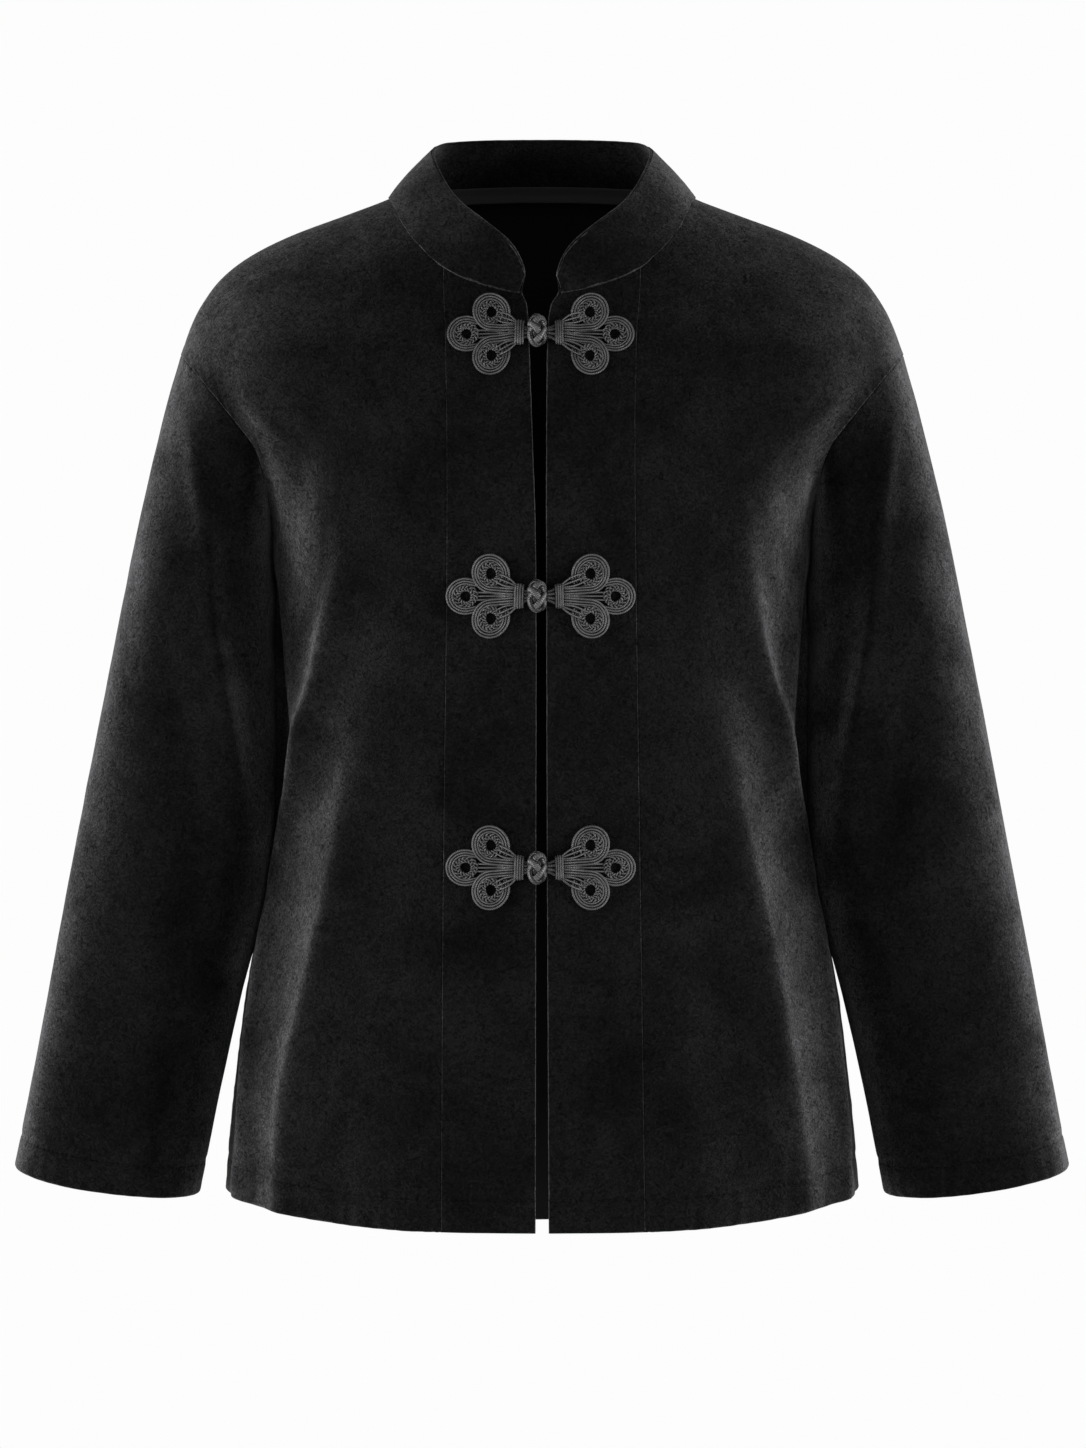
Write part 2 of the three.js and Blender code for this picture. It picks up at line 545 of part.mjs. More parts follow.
// Straight front band from its edge to the seam on the front panel
function frontBand(sign, band) {
  const rows = BODY_ROWS + HALF_RING;
  const neckLine = FRONT_NECK.filter((row) => row.x <= 60);
  const places = [];
  for (let i = 0; i <= rows; i += 1) {
    const v = i / rows;
    const row = [];
    for (let j = 0; j <= BAND_STEPS; j += 1) {
      const topZ = neckLine[j].z;
      const s = (neckLine[j].x - neckLine[0].x) / (neckLine[BAND_STEPS].x - neckLine[0].x);
      const guess = HEM_FRONT + (topZ - HEM_FRONT) * v;
      const edge = along(band, 'z', 'edge', guess);
      const x = edge + (along(band, 'z', 'seam', guess) - SEAM_GAP / 2 - edge) * s;
      const low = hemHeight(x, HEM_FRONT);
      row.push({ x: sign * x, z: low + (topZ - low) * v });
    }
    places.push(sign < 0 ? row.reverse() : row);
  }
  const seamColumn = sign < 0 ? 0 : BAND_STEPS;
  return bodyPanel(places, -1, {
    fade: () => 0,
    hold: (way, i, j) => {
      if (j === seamColumn) holdBack(way, IN_X.clone().multiplyScalar(sign));
    },
  });
}

// Sleeve point at a run down the sleeve and a turn round it: front first, then the back
function sleevePoint(run, turn, sign) {
  const front = turn <= HALF_RING;
  const k = front ? turn : 2 * HALF_RING - turn;
  const angle = Math.PI * k / HALF_RING;
  const across = (1 - Math.cos(angle)) / 2;
  const at = (column) => along(SLEEVE, 'run', column, run);
  const face = front ? -1 : 1;
  const height = armHeight(k);
  const arm = { x: armX(height), z: height };
  const headY = bodyPoint(arm.x, arm.z, face).y;
  const blend = ramp(run, 0, HEAD_BLEND);
  const keep = 1 - blend;
  const straight = {
    x: SHOULDER_POINT.x + across * (UNDERARM.x - SHOULDER_POINT.x),
    z: SHOULDER_POINT.z + across * (UNDERARM.z - SHOULDER_POINT.z),
  };
  const x = at('outX') + across * (at('inX') - at('outX')) + keep * (arm.x - straight.x);
  let z = at('outZ') + across * (at('inZ') - at('outZ')) + keep * (arm.z - straight.z);
  const bulge = (1 - Math.abs(Math.cos(angle)) ** SLEEVE_POWER) ** (1 / SLEEVE_POWER);
  const y = blend * (at('middle') + face * at('depth') * bulge) + keep * headY;
  if (front) z -= CUFF_SCOOP * Math.sin(angle) * ramp(run, 0.6, 1);
  return new THREE.Vector3(sign * x, y, z);
}

function sleeveFold(run, turn) {
  const front = turn <= HALF_RING;
  const k = front ? turn : 2 * HALF_RING - turn;
  const across = (1 - Math.cos(Math.PI * k / HALF_RING)) / 2;
  let lift = 0;
  for (const fold of SLEEVE_FOLDS) {
    if (fold.face !== (front ? -1 : 1)) continue;
    const low = fold.path[0].run;
    const high = fold.path[fold.path.length - 1].run;
    const gap = (across - along(fold.path, 'run', 'across', run)) / fold.width;
    const ends = ramp(run, low - 0.04, low + 0.08) * (1 - ramp(run, high - 0.08, high + 0.06));
    lift += fold.rise * ends * Math.exp(-gap * gap);
  }
  const middle = Math.sin(Math.PI * k / HALF_RING);
  return lift * Math.min(1, middle * 2.5);
}

function sleeve(sign) {
  const flip = sign > 0;
  const base = [];
  const runs = [];
  for (let m = 0; m <= SLEEVE_RINGS; m += 1) {
    runs.push((m / SLEEVE_RINGS) ** 1.08);
    const ring = [];
    for (let k = 0; k < 2 * HALF_RING; k += 1) ring.push(sleevePoint(runs[m], k, sign));
    base.push(ring);
  }
  base[0].forEach((p, k) => {
    const turn = k <= HALF_RING ? k : 2 * HALF_RING - k;
    p.addScaledVector(armOut(armHeight(turn), sign), SEAM_GAP / 2);
  });
  const smooth = gridNormals(base, true, !flip);
  const folded = base.map((ring, m) => ring.map((p, k) => p.clone().addScaledVector(smooth[m][k], sleeveFold(runs[m], k))));
  const inwards = gridNormals(folded, true, !flip).map((ring) => ring.map((n) => n.multiplyScalar(-VELVET)));
  inwards[0].forEach((way, k) => {
    const turn = k <= HALF_RING ? k : 2 * HALF_RING - k;
    holdBack(way, armOut(armHeight(turn), sign).negate());
  });
  return wall(folded, inwards, true, !flip);
}

// Collar band: columns run from the wearer's right end round the back to the left end
function collar() {
  const neckRow = COLLAR.findIndex((row) => row.seamX === NECK_POINT.x);
  const half = (sign) => COLLAR.map((row, i) => {
    const shift = i < neckRow ? neckShift(row.seamX, sign) : 0;
    const foot = bodyPoint(sign * (row.seamX + shift), row.seamZ, i > neckRow ? 1 : -1);
    return { foot, rim: new THREE.Vector3(sign * (row.rimX + shift / 2), row.rimY, row.rimZ) };
  });
  const stations = [...half(-1), ...half(1).slice(0, -1).reverse()];
  const centre = new THREE.Vector3(0, -12, 0);
  const points = [];
  for (let i = 0; i <= COLLAR_ROWS; i += 1) {
    const v = i / COLLAR_ROWS;
    points.push(stations.map((s) => {
      const p = s.foot.clone().lerp(s.rim, v);
      const out = p.clone().sub(centre).setZ(0).normalize();
      const tall = Math.min(s.foot.distanceTo(s.rim) / 36, 1);
      p.addScaledVector(out, COLLAR_CROWN * tall * Math.sin(Math.PI * v));
      if (i === 0) p.z += SEAM_GAP;
      return p;
    }));
  }
  const inwards = gridNormals(points, false, true).map((row) => row.map((n) => n.multiplyScalar(-COLLAR_WALL)));
  inwards[0].forEach((way) => holdBack(way, DOWN));
  return wall(points, inwards, false, true);
}

// Tape inside the back neck, made from the back panel's points and moved in
function neckTape() {
  const half = BACK_NECK.filter((row) => row.x > 0 && row.x < NECK_POINT.x - TAPE_SHORT);
  const stations = [...half.map((row) => ({ x: -row.x, z: row.z })).reverse(), BACK_NECK[0], ...half];
  const drops = [TAPE_DROP + TAPE_HEIGHT, TAPE_DROP + TAPE_HEIGHT / 2, TAPE_DROP];
  const points = drops.map((drop) => stations.map((row) => ({ x: row.x, z: row.z - drop })));
  const cloth = points.map((row) => row.map((p) => bodyPoint(p.x, p.z, 1)));
  const out = gridNormals(cloth, false, true);
  const placed = cloth.map((row, i) => row.map((p, j) => p.addScaledVector(out[i][j], -(VELVET + LAY_GAP))));
  return wall(placed, out.map((row) => row.map((n) => n.clone().multiplyScalar(-TAPE_WALL))), false, true);
}

// Place on the front of the jacket at a distance out from the cloth
function onFront(x, z, out) {
  const step = 1.5;
  const p = bodyPoint(x, z, -1);
  const across = bodyPoint(x + step, z, -1).sub(bodyPoint(x - step, z, -1));
  const up = bodyPoint(x, z + step, -1).sub(bodyPoint(x, z - step, -1));
  return p.addScaledVector(across.cross(up).normalize(), out);
}

// Far end of a ray from the hub through a petal, or 0 where it misses
function petalReach(petal, dx, dy, shift) {
  const c = Math.cos(petal.turn);
  const s = Math.sin(petal.turn);
  const local = (x, y) => [(x * c + y * s) / petal.long, (-x * s + y * c) / petal.wide];
  const [ox, oy] = local(FROG_HUB - petal.out - shift, -petal.up);
  const [rx, ry] = local(dx, dy);
  const a = rx * rx + ry * ry;
  const b = ox * rx + oy * ry;
  const root = b * b - a * (ox * ox + oy * oy - 1);
  return root < 0 ? 0 : Math.max((-b + Math.sqrt(root)) / a, 0);
}

// Outline of half a frog, out along x from the front edge: three petals and the bound stem
function frogShape(side) {
  const outline = [];
  for (let i = 0; i < FROG_POINTS; i += 1) {
    const angle = -Math.PI + 2 * Math.PI * (i + 0.5) / FROG_POINTS;
    const dx = Math.cos(angle);
    const dy = Math.sin(angle);
    let reach = 2;
    for (const petal of PETALS) reach = Math.max(reach, petalReach(petal, dx, dy, side.petals));
    if (dx < 0) {
      const toEnd = (FROG_HUB - side.stem) / -dx;
      const toSide = STEM_HALF / Math.max(Math.abs(dy), 1e-6);
      reach = Math.max(reach, Math.min(toEnd, toSide));
      const past = FROG_HUB - side.wrap;
      if (Math.abs(dy / dx) * past < WRAP_HALF) reach = Math.max(reach, Math.min(toEnd, WRAP_HALF / Math.max(Math.abs(dy), 1e-6)));
    }
    outline.push(new THREE.Vector2(FROG_HUB + dx * reach, dy * reach));
  }
  const shape = new THREE.Shape(outline);
  for (const petal of PETALS) {
    const hole = [];
    for (let i = 0; i < PETAL_HOLE.points; i += 1) {
      const angle = 2 * Math.PI * i / PETAL_HOLE.points;
      const x = PETAL_HOLE.long * Math.cos(angle);
      const y = PETAL_HOLE.wide * Math.sin(angle);
      const c = Math.cos(petal.turn);
      const s = Math.sin(petal.turn);
      hole.push(new THREE.Vector2(petal.out + side.petals + x * c - y * s, petal.up + x * s + y * c));
    }
    shape.holes.push(new THREE.Path(hole));
  }
  return shape;
}

function frogHalf(side, height) {
  const geometry = new THREE.ExtrudeGeometry(frogShape(side), {
    depth: FROG_THICK - 2 * FROG_EDGE,
    bevelEnabled: true,
    bevelThickness: FROG_EDGE,
    bevelSize: FROG_EDGE,
    bevelOffset: -FROG_EDGE,
    bevelSegments: 1,
    curveSegments: 1,
  });
  const spots = geometry.getAttribute('position');
  for (let i = 0; i < spots.count; i += 1) {
    const out = spots.getX(i);
    const swell = 1 + (WRAP_SWELL - 1) * (1 - ramp(out, side.wrap, side.wrap + 5));
    const lift = FROG_GAP + (spots.getZ(i) + FROG_EDGE) * swell;
    const p = onFront(side.sign * out, height + spots.getY(i), lift);
    spots.setXYZ(i, p.x, p.y, p.z);
  }
  if (side.sign < 0) {
    const order = [];
    for (let i = 0; i < spots.count; i += 3) order.push(i, i + 2, i + 1);
    geometry.setIndex(order);
  }
  geometry.deleteAttribute('uv');
  geometry.computeVertexNormals();
  return geometry;
}

function frogKnot(height) {
  const geometry = new THREE.SphereGeometry(1, KNOT.around, KNOT.up);
  geometry.rotateX(Math.PI / 2);
  geometry.scale(KNOT.halfWide, KNOT.halfDeep, KNOT.halfTall);
  const p = onFront(KNOT.middle, height, KNOT_GAP + KNOT.halfDeep);
  geometry.translate(p.x, p.y, p.z);
  return geometry;
}

function finish(color, roughness) {
  return new THREE.MeshStandardMaterial({ color, roughness, metalness: 0 });
}

const jacket = new THREE.Group();

function add(name, geometry, material) {
  const mesh = new THREE.Mesh(geometry, material);
  mesh.name = name;
  jacket.add(mesh);
}

const VELVET_BLACK = 0x17171a;
const CORD_GREY = 0x3c3c3f;

add('front_right', frontPanel(-1, BAND_RIGHT), finish(VELVET_BLACK, 0.95));
add('front_left', frontPanel(1, BAND_LEFT), finish(VELVET_BLACK, 0.95));
add('band_right', frontBand(-1, BAND_RIGHT), finish(VELVET_BLACK, 0.95));
add('band_left', frontBand(1, BAND_LEFT), finish(VELVET_BLACK, 0.95));
add('back', backPanel(), finish(VELVET_BLACK, 0.95));
add('sleeve_right', sleeve(-1), finish(VELVET_BLACK, 0.95));
add('sleeve_left', sleeve(1), finish(VELVET_BLACK, 0.95));
add('collar', collar(), finish(VELVET_BLACK, 0.95));
add('back_neck_tape', neckTape(), finish(VELVET_BLACK, 0.8));
FROG_HEIGHTS.forEach((height, i) => {
  for (const side of FROG_SIDES) {
    add(`frog_${i + 1}_${side.name}`, frogHalf(side, height), finish(CORD_GREY, 0.45));
  }
  add(`frog_${i + 1}_knot`, frogKnot(height), finish(CORD_GREY, 0.45));
});

export default jacket;
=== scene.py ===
"""A black velvet jacket with a stand collar, three knotted frog closures and drop shoulders.

It is filled out as if on a wearer, with nobody in it. The frame gives its size and place: +Z is up,
the front faces -Y, the wearer's left is +X, and the origin lies between the two neck points.
Sizes are millimetres, and MM turns them into the frame's metres.
"""

import logging
import math
from collections.abc import Sequence
from dataclasses import dataclass
from enum import Enum

import bmesh
import bpy
import numpy as np
from mathutils import Matrix, Vector


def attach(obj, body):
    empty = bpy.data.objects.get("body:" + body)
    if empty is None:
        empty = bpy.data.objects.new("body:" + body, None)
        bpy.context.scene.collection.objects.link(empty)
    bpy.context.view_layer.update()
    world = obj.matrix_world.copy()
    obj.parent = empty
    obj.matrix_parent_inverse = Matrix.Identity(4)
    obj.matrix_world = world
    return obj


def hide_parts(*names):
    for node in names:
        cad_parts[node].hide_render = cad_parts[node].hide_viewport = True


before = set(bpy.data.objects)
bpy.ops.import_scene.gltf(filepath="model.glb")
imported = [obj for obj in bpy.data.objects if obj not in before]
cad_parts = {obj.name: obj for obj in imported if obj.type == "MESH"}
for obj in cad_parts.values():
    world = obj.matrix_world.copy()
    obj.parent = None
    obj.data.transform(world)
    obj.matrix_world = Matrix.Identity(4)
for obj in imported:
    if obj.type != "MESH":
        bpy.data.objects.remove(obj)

MM = 0.001
BODY = "root"
CUT_MAP = "cut"
LOG = logging.getLogger("jacket")
# stitching of the hem and the cuffs: height over the edge, depth and half width of its groove
HEM_STITCH = 20.5
GROOVE_DEPTH = 0.5
GROOVE_HALF = 2.0

Pair = tuple[float, float]
Spot = Colour = tuple[float, float, float]
Row = tuple[float, ...]
Rows = tuple[Row, ...]
Array = np.ndarray
Node = bpy.types.Node
Piece = bpy.types.Object


class Side(Enum):
    """The wearer's side a piece is on, as the sign of its x."""

    RIGHT = -1
    LEFT = 1

    @property
    def label(self) -> str:
        """Word for the side in the names of pieces and nodes."""
        return self.name.lower()


class Face(Enum):
    """Front or back of the jacket, as the sign of its y."""

    FRONT = -1
    BACK = 1


def ramp(at: Array, start: float, end: float) -> Array:
    """Smooth step from 0 at start to 1 at end."""
    t = np.clip((at - start) / (end - start), 0.0, 1.0)
    return t * t * (3.0 - 2.0 * t)


def stations(count: int, first: bool = True, last: bool = True) -> Array:
    """Even steps from 0 to 1, with finer ones next to the ends that are rolled or sewn.

    Args:
        count: Number of even steps.
        first: Whether the start gets the finer steps.
        last: Whether the end gets them.

    Returns:
        The places of the steps, ascending.
    """
    fine = np.array([0.0, 0.08, 0.2, 0.38, 0.65])
    start = fine if first else fine[:1]
    end = count - (fine if last else fine[:1])[::-1]
    return np.concatenate([start, np.arange(1.0, count), end]) / count


class Profile:
    """A smooth line through the rows of a table, from its first column to another."""

    def __init__(self, rows: Sequence[Sequence[float]], column: int = 1) -> None:
        """Keeps the rows' places, values and slopes.

        Args:
            rows: Table rows with ascending first columns.
            column: Index of the column that holds the values.
        """
        self.places = np.array([row[0] for row in rows], float)
        self.values = np.array([row[column] for row in rows], float)
        count = len(rows)
        before = np.maximum(np.arange(count) - 1, 0)
        after = np.minimum(np.arange(count) + 1, count - 1)
        rise = self.values[after] - self.values[before]
        self.slopes = rise / (self.places[after] - self.places[before])

    def at(self, place: Array | float) -> Array:
        """Value at a place, held level beyond the first and last rows.

        Args:
            place: One place or an array of them, on the scale of the first column.

        Returns:
            The value at each place.
        """
        place = np.asarray(place, float)
        i = np.searchsorted(self.places, place, side="right") - 1
        i = np.clip(i, 0, len(self.places) - 2)
        step = self.places[i + 1] - self.places[i]
        t = np.clip((place - self.places[i]) / step, 0.0, 1.0)
        t2, t3 = t * t, t * t * t
        start = (2 * t3 - 3 * t2 + 1) * self.values[i] + (t3 - 2 * t2 + t) * step * self.slopes[i]
        end = (3 * t2 - 2 * t3) * self.values[i + 1] + (t3 - t2) * step * self.slopes[i + 1]
        return start + end


def close_points(rows: Rows, steps: int = 6) -> Array:
    """Points close together on a smooth line through rows of two values.

    Args:
        rows: The line's places, in order.
        steps: Number of steps from each row to the next.

    Returns:
        The points, one to a row.
    """
    index = np.arange(len(rows))
    places = np.linspace(0, len(rows) - 1, steps * (len(rows) - 1) + 1)
    columns = [np.column_stack([index, [row[k] for row in rows]]) for k in (0, 1)]
    return np.column_stack([Profile(column).at(places) for column in columns])


def nearest_on(line: Array, first: Array, second: Array) -> tuple[Array, Array]:
    """Finds the point of a line that is nearest to each place.

    Args:
        line: Points of the line.
        first: First coordinate of each place.
        second: Second coordinate of each place.

    Returns:
        Distance of each place from the line, and its nearest point's share of the way along.
    """
    steps = np.diff(line, axis=0)
    lengths = np.concatenate([[0.0], np.cumsum(np.hypot(steps[:, 0], steps[:, 1]))])
    nearest = np.full(np.broadcast(first, second).shape, np.inf)
    along = np.zeros(nearest.shape)
    for (a, b), (da, db), start, end in zip(line, steps, lengths, lengths[1:]):
        t = np.clip(((first - a) * da + (second - b) * db) / (da * da + db * db), 0.0, 1.0)
        gap = np.hypot(first - a - t * da, second - b - t * db)
        closer = gap < nearest
        nearest = np.where(closer, gap, nearest)
        along = np.where(closer, start + t * (end - start), along)
    return nearest, along / lengths[-1]


def outward(points: Array) -> Array:
    """Unit directions out of a grid of points whose columns cross rows counterclockwise.

    Args:
        points: Grid of points, rows by columns by 3.

    Returns:
        Grid of directions.
    """
    across = np.gradient(points, axis=1)
    up = np.gradient(points, axis=0)
    normal = np.cross(across, up)
    length = np.linalg.norm(normal, axis=-1, keepdims=True)
    return normal / np.maximum(length, 1e-9)


def edge_distances(points: Array) -> tuple[Array, ...]:
    """Distances over the cloth from each of a grid's four edges.

    Args:
        points: Grid of points, rows by columns by 3.

    Returns:
        Distances from the first column, the last column, the first row and the last row.
    """
    along = np.linalg.norm(np.diff(points, axis=1), axis=-1)
    left = np.concatenate([np.zeros((len(points), 1)), np.cumsum(along, axis=1)], axis=1)
    up = np.linalg.norm(np.diff(points, axis=0), axis=-1)
    foot = np.concatenate([np.zeros((1, points.shape[1])), np.cumsum(up, axis=0)], axis=0)
    return left, left[:, -1:] - left, foot, foot[-1:] - foot


def roll_edges(
    points: Array,
    rolls: tuple[float, float, float, float],
    calm: Array | float = 1.0,
) -> Array:
    """Turns the edges of a cloth in over a quarter round, as at a seam or a folded edge.

    Args:
        points: Grid of points.
        rolls: Radius at the first column, last column, first row and last row.
        calm: Share of the turn that is kept at each point.

    Returns:
        The grid with its edges turned in.
    """
    dip = np.zeros(points.shape[:2])
    for distance, radius in zip(edge_distances(points), rolls):
        inside = np.clip(radius - distance, 0.0, radius)
        dip = np.maximum(dip, radius - np.sqrt(radius * radius - inside * inside))
    return points - outward(points) * (dip * calm)[..., None]


def relax(points: Array, weight: Array, rounds: int) -> Array:
    """Evens out a surface along its columns where the weight says so.

    Args:
        points: Grid of points.
        weight: Share of each round's move, 0 to 1, for each point.
        rounds: Number of rounds.

    Returns:
        The evened grid.
    """
    points = points.copy()
    normal = outward(points)[1:-1, 1:-1]
    share = weight[1:-1, 1:-1, None]
    for _ in range(rounds):
        middle = points[1:-1, 1:-1]
        mean = (points[:-2, 1:-1] + points[2:, 1:-1]) / 2.0
        gap = np.sum((mean - middle) * normal, axis=-1, keepdims=True)
        points[1:-1, 1:-1] = middle + share * gap * normal
    return points


def waves(across: Array, up: Array, seed: int, longest: float, count: int = 7) -> Array:
    """Uneven rise and fall, from -1 to 1, made of a few crossing waves.

    Args:
        across: Places across the cloth.
        up: Places up the cloth.
        seed: Number that settles the waves' directions and starts.
        longest: Length of the longest wave.
        count: Number of waves.

    Returns:
        The height at each place.
    """
    pick = np.random.default_rng(seed)
    total = np.zeros(np.broadcast(across, up).shape)
    for _ in range(count):
        length = longest * pick.uniform(0.42, 1.0)
        turn = pick.uniform(0.0, math.pi)
        start = pick.uniform(0.0, 2.0 * math.pi)
        phase = (across * math.cos(turn) + up * math.sin(turn)) * 2.0 * math.pi / length
        total += np.sin(phase + start)
    return total / (0.6 * count)


@dataclass(frozen=True)
class BodyForm:
    """The smooth form that the body's panels, the bands and the neck lie on."""

    # height, half width, depth in front, depth behind, place of the side seam
    sections: Rows = (
        (-660, 199.0, 137, 131, 4),
        (-613, 196.5, 136, 130, 5),
        (-565, 192.4, 134, 128, 8),
        (-503, 185.4, 132, 126, 12),
        (-477, 181.4, 131, 125, 14),
        (-451, 176.4, 130, 124, 16),
        (-428, 171.6, 129, 123, 18),
        (-405, 168.6, 128, 122, 20),
        (-333, 167.2, 125, 119, 22),
        (-280, 166.6, 124, 116, 22),
        (-240, 165.4, 124, 114, 19),
        (-207, 167.0, 123, 112, 16),
        (-170, 170.0, 119, 111, 12),
        (-120, 205.0, 109, 108, 8),
        (-66, 224.0, 90, 99, 5),
        (-30, 224.0, 86, 91, 5),
        (0, 224.0, 84, 85, 5),
        (40, 224.0, 82, 80, 5),
    )
    # distance from the middle, height
    shoulder: Rows = (
        (0, 31), (30, 29), (60, 19), (80, 8.5), (94, 0), (120, -10),
        (155, -23), (181, -36), (199, -50), (211, -66), (218, -80), (224, -97),
    )
    # height, distance from the middle
    armhole: Rows = (
        (-207, 167), (-185, 168.6), (-163, 173.6), (-154, 178),
        (-139, 189.7), (-122, 203.4), (-109, 214), (-97, 224),
    )
    # distance from the middle, height
    front_neck: Rows = (
        (12, -64.5), (26, -61.8), (45.6, -55.6), (60, -48),
        (72, -37.6), (81.5, -25.5), (90, -9.5), (94, 0),
    )
    back_neck: Rows = ((0, 8), (16, 7.9), (32, 7.3), (48, 6.1), (64, 4.5), (80, 2.2), (94, 0))
    neck_x: float = 94.0
    shoulder_x: float = 224.0
    shoulder_z: float = -97.0
    underarm_z: float = -207.0
    hem_side: float = -613.0
    hem_curve: float = 3.4
    section_power: float = 2.4
    front_round: float = 95.0
    back_round: float = 60.0
    spread: float = 0.23
    spread_early: float = 0.3
    overlap: float = 0.15
    girth_radius: float = 140.0
    fold_end: float = 24.0
    side_end: float = 0.02
    normal_step: float = 1.5

    def arm_x(self, z: Array) -> Array:
        """Distance of the armhole seam from the middle at a height."""
        return Profile(self.armhole).at(np.clip(z, self.underarm_z, self.shoulder_z))

    def width(self, half: Array, z: Array) -> Array:
        """Half width of the section at a place, which opens out above the underarm.

        Args:
            half: Distance from the middle.
            z: Height.

        Returns:
            Half width at each place.
        """
        low = Profile(self.sections).at(z)
        high = np.clip((z - self.underarm_z) / (self.shoulder_z - self.underarm_z), 0.0, 1.0)
        arm = self.arm_x(z)
        spread = self.spread * high * (1 + self.spread_early * (1 - high))
        above = arm / (1 - spread * np.minimum(half / arm, 1.0) ** 3)
        return np.where(z <= self.underarm_z, low, above)

    def shoulder_line(self) -> Array:
        """Close points along the shoulder line, distance from the middle and height."""
        return close_points(self.shoulder)

    def below_shoulder(self, half: Array, z: Array) -> Array:
        """Distance from the shoulder line, seen from the front."""
        return nearest_on(self.shoulder_line(), half, z)[0]

    def point(self, x: Array, z: Array, face: Face) -> Array:
        """Points of the smooth body for places seen from the front.

        Args:
            x: Signed distance from the middle.
            z: Height.
            face: Front or back.

        Returns:
            The points.
        """
        half = np.abs(x)
        seam = Profile(self.sections, 4).at(z)
        if face is Face.FRONT:
            depth = Profile(self.sections, 2).at(z) + seam
            rounding = self.front_round
        else:
            depth = Profile(self.sections, 3).at(z) - seam
            rounding = self.back_round
        across = 1 - np.minimum(half / self.width(half, z), 1.0) ** self.section_power
        top = 1 - (1 - np.minimum(self.below_shoulder(half, z) / rounding, 1.0)) ** 2
        out = depth * np.sqrt(np.clip(across * top, 0.0, None))
        return np.stack([x, seam + face.value * (out - self.overlap * np.exp(-out)), z], axis=-1)

    def angle(self, half: Array, z: Array) -> Array:
        """Angle round the section at which a distance from the middle lies."""
        return np.arcsin(np.minimum(half / self.width(half, z), 1.0))

    def hem_height(self, x: Array, middle: float) -> Array:
        """Height of the hem, which drops from the sides to the middle.

        Args:
            x: Distance from the middle.
            middle: Height of the hem at the middle.

        Returns:
            The heights.
        """
        widest = Profile(self.sections).at(self.hem_side)
        share = np.minimum(np.abs(x) / widest, 1.0)
        return middle + (self.hem_side - middle) * share**self.hem_curve

    def seam_clearance(self, x: Array, z: Array) -> Array:
        """Share of a fold that is left at a place, which dies out towards the seams.

        Args:
            x: Distance from the middle.
            z: Height.

        Returns:
            The share at each place.
        """
        half = np.abs(x)
        clear = self.below_shoulder(half, z)
        height = np.clip(z, self.underarm_z, self.shoulder_z)
        near_arm = np.hypot(self.arm_x(height) - half, height - z)
        below_arm = self.underarm_z - self.fold_end
        clear = np.where(z > below_arm, np.minimum(clear, near_arm), clear)
        side = 1 - np.minimum(half / self.width(half, z), 1.0)
        return ramp(clear, 0, self.fold_end) * ramp(side, 0, self.side_end)

    def over_front(self, x: Array, z: Array, out: Array) -> Array:
        """Points over the smooth front, a distance out from its cloth.

        Args:
            x: Signed distance from the middle.
            z: Height.
            out: Distance out from the cloth.

        Returns:
            The points.
        """
        step = self.normal_step
        across = self.point(x + step, z, Face.FRONT) - self.point(x - step, z, Face.FRONT)
        up = self.point(x, z + step, Face.FRONT) - self.point(x, z - step, Face.FRONT)
        normal = np.cross(across, up)
        normal /= np.linalg.norm(normal, axis=-1, keepdims=True)
        return self.point(x, z, Face.FRONT) + normal * np.asarray(out)[..., None]


FORM = BodyForm()


@dataclass(frozen=True)
class Fold:
    """A fold that runs up the body and stands out of it, or lies in it where rise is negative."""

    side: Side
    rise: float
    inner: float
    outer: float
    path: Rows  # height, distance from the middle
    fade: float = 45.0

    def lift(self, x: Array, z: Array) -> Array:
        """How far the fold lifts the cloth at a place.

        Args:
            x: Signed distance from the middle.
            z: Height.

        Returns:
            The lift at each place.
        """
        half = np.abs(x)
        low, high = self.path[0][0], self.path[-1][0]
        centre = FORM.angle(Profile(self.path).at(z), z)
        gap = (FORM.angle(half, z) - centre) * FORM.girth_radius
        reach = gap / np.where(gap < 0, self.inner, self.outer)
        ends = 1 - ramp(z, high - self.fade, high + self.fade)
        if low >= FORM.hem_side + self.fade:
            ends = ends * ramp(z, low - self.fade, low + self.fade)
        return np.where(x * self.side.value > 0, self.rise * ends * np.exp(-reach * reach), 0.0)


@dataclass(frozen=True)
class Crease:
    """A short crease in any direction, along a spine of places on the cloth."""

    rise: float
    wide: float
    spine: Rows

    def lift(self, across: Array, up: Array) -> Array:
        """How far the crease lifts the cloth at a place.

        Args:
            across: Places across the cloth.
            up: Places up the cloth.

        Returns:
            The lift at each place.
        """
        nearest, share = nearest_on(close_points(self.spine), across, up)
        taper = ramp(share, -0.02, 0.35) * (1 - ramp(share, 0.6, 1.02))
        return self.rise * taper * np.exp(-((nearest / self.wide) ** 2))


R, L = Side.RIGHT, Side.LEFT
